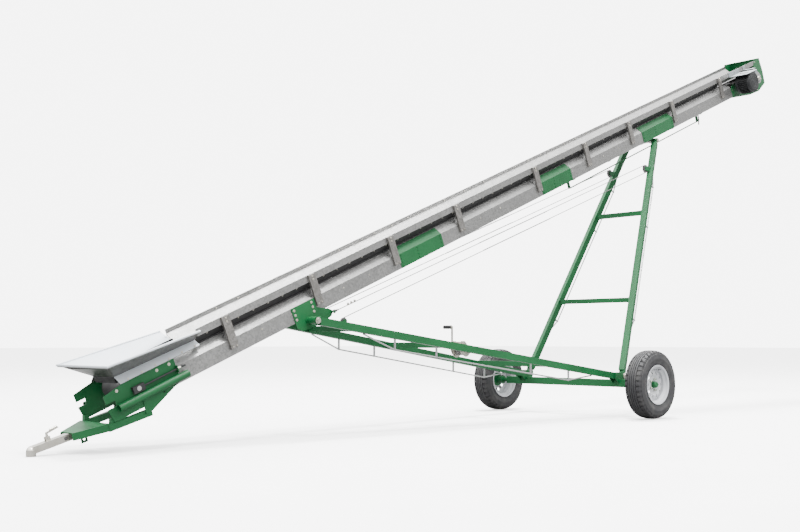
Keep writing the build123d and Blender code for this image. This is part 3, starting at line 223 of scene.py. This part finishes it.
belt_rubber = moulded_rubber("belt rubber", (0.020, 0.020, 0.021), (0.10, 0.10, 0.095))
skirt_rubber = moulded_rubber("skirt rubber", (0.010, 0.010, 0.011), (0.04, 0.04, 0.04), scuff=0.15)
tread_rubber = moulded_rubber("tyre rubber", (0.020, 0.020, 0.022), (0.09, 0.088, 0.082), scuff=0.4)
zinc_plate = bare_metal("zinc plate", (0.60, 0.58, 0.52), (0.42, 0.38, 0.30), gloss=0.28)
rod_zinc = bare_metal("rod plating", (0.42, 0.43, 0.43), (0.30, 0.29, 0.27), gloss=0.34)
turned_steel = bare_metal("turned steel", (0.52, 0.52, 0.52), (0.28, 0.25, 0.21), gloss=0.28)
dark_steel = bare_metal("dark steel", (0.12, 0.12, 0.12), (0.16, 0.11, 0.08), gloss=0.42, metallic=0.7)
rope = wire_rope("wire rope")
grip_plastic = moulded_rubber(
    "grip plastic", (0.015, 0.015, 0.015), (0.05, 0.05, 0.05), scuff=0.15, grain=500.0
)

nodes_by_finish = (
    (
        zinc_sheet,
        "side_panel_right side_panel_left slider_bed deck_braces skirt_rail_right "
        "skirt_rail_left",
    ),
    (post_zinc, "rail_posts"),
    (skirt_rubber, "rubber_skirts drive_belt"),
    (
        green,
        "splice_covers tail_plate_right tail_plate_left tail_tubes tongue head_plates "
        "discharge_hood lift_track_right lift_track_left pivot_plates arm_right arm_left "
        "axle_beam arm_crossbars leg_right leg_left leg_crossbars hub_right hub_left",
    ),
    (zinc_plate, "rail_bolts coupler_body coupler_latch winch_frame winch_drum winch_crank"),
    (belt_rubber, "belt"),
    (hopper_paint, "hopper"),
    (motor_black, "drive_motor"),
    (machine_grey, "motor_mount gear_reducer"),
    (dark_steel, "parking_hook arm_sheaves leg_sheaves"),
    (turned_steel, "head_pulley tail_pulley return_idler leg_top_shaft track_rollers"),
    (casting, "take_up_blocks motor_sheave drive_sheave"),
    (rod_zinc, "arm_truss_rods leg_truss_rods"),
    (tread_rubber, "tyre_right tyre_left"),
    (silver, "rim_right rim_left"),
    (rope, "anchor_cable_low anchor_cable_high winch_cable_low winch_cable_high"),
)
for finish, nodes in nodes_by_finish:
    for node in nodes.split():
        solid = frame["nodes"][node]
        solid.data.materials.clear()
        solid.data.materials.append(finish)

# ---------------------------------------------------------------- places taken from the frame
tyre_low, tyre_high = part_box("tyre_right")
axle_x = (tyre_low.x + tyre_high.x) / 2
wheel_radius = (tyre_high.x - tyre_low.x) / 2
tyre_half = (tyre_high.y - tyre_low.y) / 2
wheel_y = -(tyre_low.y + tyre_high.y) / 2
boom_slope = radians(22.7)
boom_rise = 2.580  # underside of the side panels straight above the axle
boom_frame = Matrix.Translation((axle_x, 0.0, boom_rise)) @ Matrix.Rotation(-boom_slope, 4, "Y")
side_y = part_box("side_panel_left")[1].y
post_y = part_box("rail_posts")[1].y
splice_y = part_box("splice_covers")[1].y
joint_place = {joint["name"]: Vector(joint["pos_m"]) for joint in frame["joints"] if "pos_m" in joint}
SIDES = (("right", -1), ("left", 1))
FACE_OUT = {side: Matrix.Rotation(-side * pi / 2, 4, "X") for _, side in SIDES}  # local z to side * y
rail_top = 0.320
post_stations = (-4.905, -3.980, -3.010, -2.080, -0.800, 0.135, 1.045, 2.035, 3.265)
splice_stations = ((-2.965, -2.370), (-0.758, -0.209), (1.276, 1.985))


# ---------------------------------------------------------------- shaping helpers
def piece(shape, name, body, finish, smooth=True, replaces=()):
    """Turns a bmesh into a named object that rides on a body."""
    bmesh.ops.remove_doubles(shape, verts=shape.verts, dist=1e-6)
    mesh = bpy.data.meshes.new(name)
    shape.to_mesh(mesh)
    shape.free()
    made = bpy.data.objects.new(name, mesh)
    bpy.context.scene.collection.objects.link(made)
    mesh.materials.append(finish)
    if smooth:
        mesh.shade_smooth()
        mesh.set_sharp_from_angle(angle=radians(35))
    if replaces:
        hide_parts(*replaces)
    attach(made, body)
    return made


def drum(shape, place, radius, depth, segments=24, top=None):
    """A capped drum or cone with its base at place and its axis along place's z."""
    lift = place @ Matrix.Translation((0.0, 0.0, depth / 2))
    return bmesh.ops.create_cone(
        shape,
        cap_ends=True,
        segments=segments,
        radius1=radius,
        radius2=radius if top is None else top,
        depth=depth,
        matrix=lift,
    )["verts"]


def hex_bolt(shape, place, across=0.007, rise=0.005):
    """A washer with a six-sided head on it."""
    drum(shape, place, across * 1.45, rise * 0.25, segments=12)
    head = place @ Matrix.Translation((0, 0, rise * 0.25))
    drum(shape, head, across, rise * 0.75, segments=6, top=across * 0.93)


def block(shape, place, size):
    """A rectangular block centred on place."""
    return bmesh.ops.create_cube(shape, size=1.0, matrix=place @ Matrix.Diagonal((*size, 1.0)))["verts"]


def spun(shape, outline, place, steps=48):
    """An outline of (radius, height) points turned round place's z."""
    corners = [shape.verts.new(place @ Vector((radius, 0.0, height))) for radius, height in outline]
    edges = [shape.edges.new(pair) for pair in zip(corners, corners[1:])]
    bmesh.ops.spin(
        shape,
        geom=corners + edges,
        cent=place.translation,
        axis=place.to_3x3() @ Vector((0, 0, 1)),
        angle=tau,
        steps=steps,
        use_merge=True,
    )
    bmesh.ops.recalc_face_normals(shape, faces=shape.faces)


def bar(name, points, radius, body, finish, rings=10):
    """A round bar or bead along straight runs between points."""
    curve = bpy.data.curves.new(name + " line", "CURVE")
    curve.dimensions = "3D"
    curve.bevel_depth = radius
    curve.bevel_resolution = max(1, rings // 4)
    curve.use_fill_caps = True
    run = curve.splines.new("POLY")
    run.points.add(len(points) - 1)
    for spot, point in zip(run.points, points):
        spot.co = (*point, 1.0)
    line = bpy.data.objects.new(name + " line", curve)
    mesh = bpy.data.meshes.new_from_object(line)
    bpy.data.objects.remove(line)
    shape = bmesh.new()
    shape.from_mesh(mesh)
    bpy.data.meshes.remove(mesh)
    return piece(shape, name, body, finish)


def at_boom(s, y, h):
    return boom_frame @ Vector((s, y, h))


def beside(s, h, side, y):
    """A place on the boom's side, with z pointing away from it."""
    return boom_frame @ Matrix.Translation((s, side * y, h)) @ FACE_OUT[side]


# ---------------------------------------------------------------- wheels
def tyre(name, side):
    """A trailer tyre: ribbed tread, blocked shoulders and raised rings on the sidewalls."""
    place = Matrix.Translation((axle_x, side * wheel_y, wheel_radius)) @ FACE_OUT[side]
    crown = wheel_radius
    bead = 0.1908
    steps, pitch, notch = 120, 3, 0.006  # turns of the outline, spacing and depth of the shoulder notches
    half = (
        (crown - 0.0095, 0.0),
        (crown - 0.0095, 0.003),
        (crown, 0.0045),
        (crown, 0.0185),
        (crown - 0.0090, 0.0205),
        (crown - 0.0090, 0.0255),
        (crown - 0.0006, 0.0275),
        (crown - 0.0016, 0.0435),
        (crown - 0.0110, 0.0455),
        (crown - 0.0110, 0.0495),
        (crown - 0.0035, 0.0515),
        (crown - 0.0065, 0.0660),
        (crown - 0.0150, 0.0835),
        (crown - 0.0340, 0.0925),
        (crown - 0.0360, 0.0925),
        (crown - 0.0380, 0.0965),
        (crown - 0.0420, 0.0968),
        (0.287, 0.1000),
        (0.270, tyre_half - 0.0012),
        (0.266, tyre_half),
        (0.262, tyre_half),
        (0.258, tyre_half - 0.0012),
        (0.240, 0.0975),
        (0.222, 0.0900),
        (0.218, 0.0905),
        (0.214, 0.0885),
        (0.200, 0.0790),
        (bead, 0.0750),
        (bead, 0.0640),
    )
    shape = bmesh.new()
    spun(shape, [(r, -h) for r, h in reversed(half)] + list(half[1:]), place, steps=steps)
    inward = place.inverted()
    shoulder = []
    for face in shape.faces:
        centre = inward @ face.calc_center_median()
        step = int((atan2(centre.y, centre.x) % tau) / tau * steps + 0.5)
        if 0.0515 < abs(centre.z) < 0.0925 and centre.xy.length > crown - 0.034 and step % pitch == 0:
            shoulder.append(face)
    sunk = bmesh.ops.extrude_discrete_faces(shape, faces=shoulder)["faces"]
    for face in sunk:
        centre = inward @ face.calc_center_median()
        towards = place.to_3x3() @ Vector((-centre.x, -centre.y, 0.0)).normalized()
        bmesh.ops.translate(shape, verts=face.verts, vec=towards * notch)
    return piece(
        shape, f"tyre_{name}_tread", f"wheel_{name}", tread_rubber, replaces=(f"tyre_{name}",)
    )


def wheel_fittings(name, side):
    """Lug nuts, dark discs behind the rim's face as painted shade in its hand holes, and a valve stem."""
    centre = Matrix.Translation((axle_x, side * wheel_y, wheel_radius)) @ FACE_OUT[side]
    nuts = bmesh.new()
    for turn in range(5):
        spot = centre @ Matrix.Rotation(tau * turn / 5, 4, "Z") @ Matrix.Translation((0.057, 0.0, 0.036))
        drum(nuts, spot, 0.0125, 0.010, segments=6)
        drum(nuts, spot @ Matrix.Translation((0, 0, 0.010)), 0.0105, 0.005, segments=12, top=0.006)
    piece(nuts, f"lug_nuts_{name}", f"wheel_{name}", zinc_plate)
    # Dark discs behind the rim's hand holes: painted shade seen through them.
    hole_shade_discs = bmesh.new()
    for turn in range(10):
        turned = Matrix.Rotation(tau * (turn + 0.5) / 10, 4, "Z")
        spot = centre @ turned @ Matrix.Translation((0.112, 0.0, 0.0325))
        drum(hole_shade_discs, spot, 0.0130, 0.0022, segments=20, top=0.0122)
    piece(hole_shade_discs, f"hand_hole_shade_{name}", f"wheel_{name}", dark_steel)
    valve = bmesh.new()
    stem = centre @ Matrix.Rotation(radians(70), 4, "Z") @ Matrix.Translation((0.158, 0.0, 0.060))
    drum(valve, stem, 0.0060, 0.020, segments=12, top=0.0045)
    drum(valve, stem @ Matrix.Translation((0, 0, 0.020)), 0.0048, 0.010, segments=12)
    piece(valve, f"valve_{name}", f"wheel_{name}", grip_plastic)


for name, side in SIDES:
    tyre(name, side)
    wheel_fittings(name, side)


# ---------------------------------------------------------------- boom fasteners
def rail_fasteners():
    """Bolts that clamp the rubber to the rails, with those of the posts and the splice covers."""
    clamp_count, clamp_start, clamp_pitch = 54, -5.08, 0.156
    shape = bmesh.new()
    for _, side in SIDES:
        for step in range(clamp_count):
            s = clamp_start + step * clamp_pitch
            clamp = boom_frame @ Matrix.Translation((s, side * 0.1937, 0.2529))
            hex_bolt(shape, clamp @ Matrix.Rotation(-side * radians(135), 4, "X"), 0.0060, 0.004)
        for s in post_stations:
            for h in (rail_top - 0.018, rail_top - 0.048):
                hex_bolt(shape, beside(s, h, side, post_y), 0.0065, 0.005)
            for ahead in (0.30, 0.62):
                hex_bolt(shape, beside(s + ahead, 0.085, side, side_y), 0.0050, 0.003)
    piece(shape, "rail_fasteners", "boom", zinc_plate)
    covers = bmesh.new()
    for _, side in SIDES:
        for start, end in splice_stations:
            for share in (0.04, 0.42, 0.96):
                for h in (0.022, 0.055, 0.088, 0.118):
                    hex_bolt(covers, beside(start + (end - start) * share, h, side, splice_y), 0.0060, 0.004)
    piece(covers, "splice_fasteners", "boom", green)


def panel_feet():
    """Thin dark plates lying on the shoulder at the foot of each post: painted shade for the notches there.
    """
    shape = bmesh.new()
    for _, side in SIDES:
        for s in post_stations:
            place = boom_frame @ Matrix.Translation((s - 0.046, side * (side_y - 0.026), 0.163))
            tilt = Matrix.Rotation(side * atan2(0.059, 0.060), 4, "X")
            # Each plate is painted shade standing in for a notch at the post's foot.
            block(shape, place @ tilt @ Matrix.Translation((0, 0, 0.0030)), (0.010, 0.058, 0.0016))
    piece(shape, "post_foot_shade", "boom", dark_steel, smooth=False)


rail_fasteners()
panel_feet()


# ---------------------------------------------------------------- hopper
def hopper_shell():
    """The hopper: faces turned up the boom take the light hopper paint, and all the rest take a darker
    galvanised finish as painted shade.
    """
    shape = bmesh.new()
    shape.from_mesh(frame["nodes"]["hopper"].data)
    bmesh.ops.remove_doubles(shape, verts=shape.verts, dist=1e-5)
    shape.normal_update()
    up_boom = boom_frame.to_3x3() @ Vector((0, 0, 1))
    # Faces are coloured by the way they point: side- and down-facing faces get the darker finish as painted
    # shade.
    for face in shape.faces:
        face.material_index = 0 if face.normal.dot(up_boom) > 0.05 else 1
    shell = piece(shape, "hopper_shell", "boom", hopper_paint, replaces=("hopper",))
    shell.data.materials.append(hopper_painted_shade)
    rim = [at_boom(-5.186, -0.280, 0.307), at_boom(-6.029, -0.375, 0.386)]
    rim += [Vector((point.x, -point.y, point.z)) for point in reversed(rim)]
    bar("hopper_rolled_rim", rim, 0.0085, "boom", hopper_paint, rings=16)


def hopper_fasteners():
    """A row of bolts along each side of the hopper."""
    shape = bmesh.new()
    for _, side in SIDES:
        for step in range(6):
            hex_bolt(shape, beside(-5.83 + 0.12 * step, 0.206, side, 0.2135), 0.0055, 0.004)
    piece(shape, "hopper_fasteners", "boom", zinc_plate)


# ---------------------------------------------------------------- belt
def belt_chevrons():
    """Low ribs in a V across the carrying side of the belt."""
    shape = bmesh.new()
    belt_top = 0.1973
    rib_count, rib_start, rib_pitch = 37, -5.62, 0.26
    for step in range(rib_count):
        s = rib_start + rib_pitch * step
        for side in (-1, 1):
            lean = Matrix.Rotation(side * radians(62), 4, "Z")
            place = boom_frame @ Matrix.Translation((s, side * 0.052, belt_top + 0.002)) @ lean
            rib = block(shape, place, (0.105, 0.011, 0.005))
            edges = {edge for corner in rib for edge in corner.link_edges}
            bmesh.ops.bevel(
                shape, geom=list(edges), offset=0.0015, segments=1, affect="EDGES", profile=0.5, material=-1
            )
    piece(shape, "belt_chevrons", "boom", belt_rubber)


# ---------------------------------------------------------------- head drive
def motor_details():
    """Cooling fins, a fan cover with rings of slots, and a terminal box."""
    end_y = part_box("drive_motor")[0].y
    axis = joint_place["motor_sheave_spin"]
    shell = Matrix.Translation((axis.x, end_y, axis.z)) @ FACE_OUT[-1]
    fin_count, bare_arc = 36, 0.45  # no fins within this angle of the mounting plate
    fins = bmesh.new()
    for fin in range(fin_count):
        angle = tau * fin / fin_count
        spoke = shell @ Matrix.Rotation(angle, 4, "Z") @ Matrix.Translation((0.130, 0.0, -0.105))
        if abs(angle - pi / 2) > bare_arc:
            block(fins, spoke, (0.014, 0.0032, 0.130))
    piece(fins, "motor_fins", "boom", motor_black, smooth=False)
    cover = bmesh.new()
    outline = [(0.131, -0.040), (0.131, -0.012), (0.126, -0.003), (0.112, 0.0005)]
    for ring in range(5):
        radius = 0.104 - 0.016 * ring
        groove = ((0.0, 0.0012), (0.003, -0.003), (0.009, -0.003), (0.012, 0.0012))
        outline += [(radius - inward, height) for inward, height in groove]
    outline.append((0.0, 0.0012))
    spun(cover, outline, shell, steps=40)
    piece(cover, "motor_fan_cover", "boom", motor_black)
    box = bmesh.new()
    corner = shell @ Matrix.Rotation(radians(335), 4, "Z") @ Matrix.Translation((0.142, 0.0, -0.110))
    lid = block(box, corner, (0.050, 0.090, 0.090))
    edges = {edge for spot in lid for edge in spot.link_edges}
    bmesh.ops.bevel(
        box, geom=list(edges), offset=0.006, segments=3, affect="EDGES", profile=0.5, material=-1
    )
    for across in (-0.034, 0.034):
        for along_shaft in (-0.034, 0.034):
            spot = corner @ Matrix.Translation((0.025, across, along_shaft)) @ Matrix.Rotation(pi / 2, 4, "Y")
            hex_bolt(box, spot, 0.0045, 0.003)
    piece(box, "motor_terminal_box", "boom", motor_black)


def reducer_details():
    """Cover bolts and the collar on the head shaft."""
    shape = bmesh.new()
    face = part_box("gear_reducer")[0].y
    shaft = joint_place["head_pulley_spin"]
    hub = Matrix.Translation((shaft.x, face, shaft.z)) @ FACE_OUT[-1]
    for turn in range(8):
        spot = hub @ Matrix.Rotation(tau * turn / 8, 4, "Z") @ Matrix.Translation((0.060, 0, 0))
        hex_bolt(shape, spot, 0.007, 0.006)
    drum(shape, hub, 0.032, 0.010, segments=32, top=0.028)
    drum(shape, hub @ Matrix.Translation((0, 0, 0.010)), 0.0175, 0.010, segments=24)
    piece(shape, "reducer_fasteners", "boom", zinc_plate)


def hood_hems():
    """Rolled hems on the hood's free edges, and the bolts that hold its cheeks."""
    top_line = [(4.196, 0.146), (4.310, 0.334), (4.441, 0.320)]
    cheek_y = 0.2185
    hem = [at_boom(s, -cheek_y, h) for s, h in top_line]
    hem += [at_boom(s, cheek_y, h) for s, h in reversed(top_line)]
    bar("hood_hem", hem, 0.0045, "boom", green, rings=12)
    shape = bmesh.new()
    for _, side in SIDES:
        for s, h in ((4.215, -0.060), (4.215, 0.020), (4.215, 0.110), (4.300, 0.300)):
            hex_bolt(shape, beside(s, h, side, 0.219), 0.008, 0.005)
    piece(shape, "hood_fasteners", "boom", zinc_plate)


# ---------------------------------------------------------------- tail and hitch
def take_up_nuts():
    """A nut and a lock nut on each take-up screw."""
    shape = bmesh.new()
    for _, side in SIDES:
        y = side * (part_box("take_up_blocks")[1].y - 0.016)
        for s in (-5.425, -5.437):
            place = boom_frame @ Matrix.Translation((s, y, 0.114)) @ Matrix.Rotation(pi / 2, 4, "Y")
            drum(shape, place, 0.0125, 0.010, segments=6)
    piece(shape, "take_up_nuts", "take_up", zinc_plate)


def tail_fasteners():
    """The bolts that hold the tail plates."""
    shape = bmesh.new()
    plate_y = side_y + 0.006
    spots = (
        (-5.95, 0.165),
        (-5.60, 0.170),
        (-5.49, 0.170),
        (-5.49, 0.060),
        (-5.49, 0.010),
        (-5.60, 0.000),
    )
    for _, side in SIDES:
        for s, h in spots:
            hex_bolt(shape, beside(s, h, side, plate_y), 0.0085, 0.006)
    piece(shape, "tail_fasteners", "boom", zinc_plate)


def coupler_fasteners():
    """Two cross bolts through the coupler's stem, and a rolled grip on the latch."""
    latch = joint_place["coupler_latch_lift"]
    forward = Vector((-0.9605, 0.0, -0.2783))
    upward = Vector((-0.2783, 0.0, 0.9605))
    shape = bmesh.new()
    for back in (0.115, 0.185):
        for side in (-1, 1):
            spot = latch - upward * 0.044 - forward * back + Vector((0, side * 0.033, 0))
            hex_bolt(shape, Matrix.Translation(spot) @ FACE_OUT[side], 0.0095, 0.008)
    piece(shape, "coupler_fasteners", "boom", dark_steel)
    grip = [latch + upward * 0.046 - forward * 0.030, latch + upward * 0.055 - forward * 0.088]
    bar("latch_grip", grip, 0.0095, "coupler_latch", zinc_plate, rings=16)


# ---------------------------------------------------------------- undercarriage
foot_y = 0.619  # how far from the middle the arms and legs meet the axle
arm_line = {
    side: (Vector((-2.8268, side * 0.301, 0.955)), Vector((axle_x, side * foot_y, 0.415)))
    for _, side in SIDES
}
leg_line = {
    side: (
        Vector((*joint_place["leg_fold"].xz, 0)).xzy + Vector((0, side * foot_y, 0)),
        Vector((*joint_place["track_roller_spin"].xz, 0)).xzy + Vector((0, side * 0.187, 0)),
    )
    for _, side in SIDES
}


def weld_beads(name, lines, shares, half_tube, half_bar, body):
    """A bead of weld round each end of each crossbar."""
    beads = 9  # along each edge of the bar
    shape = bmesh.new()
    for side, (start, end) in lines.items():
        for share in shares:
            centre = start.lerp(end, share)
            face = centre.y - side * (half_tube + 0.002)
            corners = [
                Vector((centre.x + dx * half_bar, face, centre.z + dz * half_bar))
                for dx, dz in ((-1, -1), (1, -1), (1, 1), (-1, 1))
            ]
            for one, other in zip(corners, corners[1:] + corners[:1]):
                for step in range(beads):
                    spot = one.lerp(other, step / beads)
                    bmesh.ops.create_icosphere(
                        shape, subdivisions=1, radius=0.0046, matrix=Matrix.Translation(spot)
                    )
    piece(shape, name, body, green)


def pivot_nuts():
    """Nuts on the pivot and leg pins, bolts in the pivot plates, and caps on the top shaft."""
    plates = bmesh.new()
    pivot = joint_place["boom_lift"]
    for _, side in SIDES:
        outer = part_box("pivot_plates")[1].y
        place = Matrix.Translation((pivot.x, side * outer, pivot.z)) @ FACE_OUT[side]
        hex_bolt(plates, place, 0.019, 0.014)
        for s in (-4.258, -4.062):
            for h in (0.022, 0.062, 0.102):
                hex_bolt(plates, beside(s, h, side, 0.223), 0.0085, 0.006)
    piece(plates, "pivot_fasteners", "boom", zinc_plate)
    feet = bmesh.new()
    foot = joint_place["leg_fold"]
    for _, side in SIDES:
        place = Matrix.Translation((foot.x, side * 0.659, foot.z)) @ FACE_OUT[side]
        hex_bolt(feet, place, 0.021, 0.014)
    piece(feet, "leg_pin_nuts", "lower_frame", zinc_plate)
    tops = bmesh.new()
    crown = joint_place["track_roller_spin"]
    for _, side in SIDES:
        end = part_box("leg_top_shaft")[1].y
        place = Matrix.Translation((crown.x, side * end, crown.z)) @ FACE_OUT[side]
        drum(tops, place @ Matrix.Translation((0, 0, -0.008)), 0.020, 0.010, segments=24)
    piece(tops, "top_shaft_caps", "lift_legs", zinc_plate)


# ---------------------------------------------------------------- cables and winch
def rope_clips():
    """Saddle clips and an eye where each lower cable is tied to its pivot plate."""
    low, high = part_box("anchor_cable_low")
    start = joint_place["anchor_cable_low_swing"]
    direction = Vector((high.x - low.x, 0.0, high.z - low.z)).normalized()
    lay = direction.to_track_quat("X", "Z").to_matrix().to_4x4()
    cable_y = high.y - 0.004
    eye_radius = 0.0135
    shape = bmesh.new()
    for _, side in SIDES:
        origin = Matrix.Translation((start.x, side * cable_y, start.z)) @ lay
        for along_rope in (0.165, 0.205, 0.245):
            saddle = origin @ Matrix.Translation((along_rope, 0.0, 0.006)) @ Matrix.Rotation(pi, 4, "X")
            block(shape, saddle, (0.013, 0.020, 0.009))
            for y in (-0.007, 0.007):
                drum(shape, saddle @ Matrix.Translation((0.0, y, -0.010)), 0.0045, 0.006, segments=6)
                drum(shape, saddle @ Matrix.Translation((0.0, y, -0.014)), 0.0022, 0.024, segments=8)
    piece(shape, "rope_clips", "anchor_cable_low", zinc_plate)
    for name, side in SIDES:
        centre = Vector((start.x, side * cable_y, start.z))
        loop = []
        for step in range(17):
            turn = radians(35) + radians(290) * step / 16
            around = Vector((eye_radius * cos(turn), 0.0, eye_radius * sin(turn)))
            loop.append(centre + lay.to_3x3() @ around)
        loop = [centre + direction * 0.060] + loop + [centre + direction * 0.060]
        bar(f"rope_eye_{name}", loop, 0.0040, "anchor_cable_low", rope, rings=8)


def winch_details():
    """A moulded grip, rope wound on the drum, and teeth on the drum's gear."""
    crank_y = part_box("winch_crank")[1].y
    crank = joint_place["winch_crank_turn"]
    grip_frame = Matrix.Translation((crank.x, crank_y - 0.102, crank.z + 0.155)) @ FACE_OUT[1]
    grip = bmesh.new()
    outline = [
        (0.0115, 0.004),
        (0.0160, 0.006),
        (0.0180, 0.012),
        (0.0165, 0.030),
        (0.0175, 0.055),
        (0.0165, 0.080),
        (0.0180, 0.094),
        (0.0160, 0.101),
        (0.0100, 0.104),
        (0.0, 0.1045),
    ]
    spun(grip, outline, grip_frame, steps=32)
    piece(grip, "crank_grip", "winch_crank", grip_plastic)

    gear_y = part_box("winch_drum")[1].y
    axis = joint_place["winch_drum_turn"]
    coil, turns, steps, coil_radius, first, last = [], 10, 20, 0.0345, -0.3895, -0.2910
    for step in range(turns * steps + 1):
        turn = tau * step / steps
        y = first + (last - first) * step / (turns * steps)
        coil.append(Vector((axis.x + coil_radius * cos(turn), y, axis.z + coil_radius * sin(turn))))
    bar("drum_rope", coil, 0.0045, "winch_drum", rope, rings=8)
    teeth = bmesh.new()
    gear_frame = Matrix.Translation((axis.x, gear_y - 0.004, axis.z)) @ FACE_OUT[1]
    tooth_count, gear_radius = 60, 0.0600
    for tooth in range(tooth_count):
        turned = Matrix.Rotation(tau * tooth / tooth_count, 4, "Z")
        place = gear_frame @ turned @ Matrix.Translation((gear_radius, 0, 0))
        block(teeth, place, (0.0016, 0.0030, 0.0078))
    piece(teeth, "drum_gear_teeth", "winch_drum", zinc_plate, smooth=False)


hopper_shell()
hopper_fasteners()
belt_chevrons()
motor_details()
reducer_details()
hood_hems()
take_up_nuts()
tail_fasteners()
coupler_fasteners()
weld_beads("lower_frame_welds", arm_line, (0.116, 0.385, 0.74), 0.032, 0.025, "lower_frame")
weld_beads("leg_welds", leg_line, (0.296, 0.667), 0.032, 0.025, "lift_legs")
pivot_nuts()
rope_clips()
winch_details()


# ---------------------------------------------------------------- floor, light and camera
def studio():
    """A pale floor, two soft lamps high overhead and an even white surround."""
    plane = bmesh.new()
    bmesh.ops.create_grid(plane, x_segments=1, y_segments=1, size=90.0)
    floor_mesh = bpy.data.meshes.new("floor")
    plane.to_mesh(floor_mesh)
    plane.free()
    floor = bpy.data.objects.new("floor", floor_mesh)
    floor.location.z = -0.002
    bpy.context.scene.collection.objects.link(floor)
    floor_mesh.materials.append(pale_floor("pale floor"))

    # The lens sees a white surround, while the light itself comes mostly from overhead.
    world = bpy.data.worlds.new("surround")
    bpy.context.scene.world = world
    world.use_nodes = True
    nodes, links = world.node_tree.nodes, world.node_tree.links
    overhead = nodes["Background"]
    overhead.inputs["Strength"].default_value = 1.0
    direction = nodes.new("ShaderNodeSeparateXYZ")
    links.new(nodes.new("ShaderNodeTexCoord").outputs["Generated"], direction.inputs["Vector"])
    sky = nodes.new("ShaderNodeValToRGB")
    sky.color_ramp.elements[0].position = 0.02
    sky.color_ramp.elements[0].color = (0.05, 0.052, 0.055, 1.0)
    sky.color_ramp.elements[1].position = 0.75
    sky.color_ramp.elements[1].color = (5.4, 5.4, 5.4, 1.0)
    links.new(direction.outputs["Z"], sky.inputs["Fac"])
    links.new(sky.outputs["Color"], overhead.inputs["Color"])
    surround = nodes.new("ShaderNodeBackground")
    surround.inputs["Strength"].default_value = 8.4
    seen = nodes.new("ShaderNodeLightPath")
    chooser = nodes.new("ShaderNodeMixShader")
    links.new(seen.outputs["Is Camera Ray"], chooser.inputs["Fac"])
    links.new(overhead.outputs["Background"], chooser.inputs[1])
    links.new(surround.outputs["Background"], chooser.inputs[2])
    links.new(chooser.outputs["Shader"], nodes["World Output"].inputs["Surface"])

    for name, place, size, power in (
        ("key", (-4.0, -4.0, 15.0), 2.2, 3200.0),
        ("top", (3.0, 2.0, 15.0), 3.0, 6800.0),
    ):
        lamp = bpy.data.lights.new(name, "AREA")
        lamp.size = size
        lamp.energy = power
        holder = bpy.data.objects.new(name, lamp)
        holder.location = place
        aim = Vector((0.5, 0.0, 1.5)) - Vector(place)
        holder.rotation_euler = aim.to_track_quat("-Z", "Y").to_euler()
        bpy.context.scene.collection.objects.link(holder)


def main_camera():
    """The camera stands low ahead of the tongue, on the right side, and looks along the machine."""
    lens = bpy.data.cameras.new("camera")
    lens.lens = 48.1
    lens.sensor_width = 36.0
    lens.clip_end = 300.0
    holder = bpy.data.objects.new("camera", lens)
    heading, tilt = radians(44.02), radians(3.93)
    look = Vector((sin(heading) * cos(tilt), cos(heading) * cos(tilt), sin(tilt)))
    holder.location = (axle_x - 9.390, -7.074, 0.800)
    holder.rotation_euler = look.to_track_quat("-Z", "Y").to_euler()
    bpy.context.scene.collection.objects.link(holder)
    bpy.context.scene.camera = holder


studio()
main_camera()
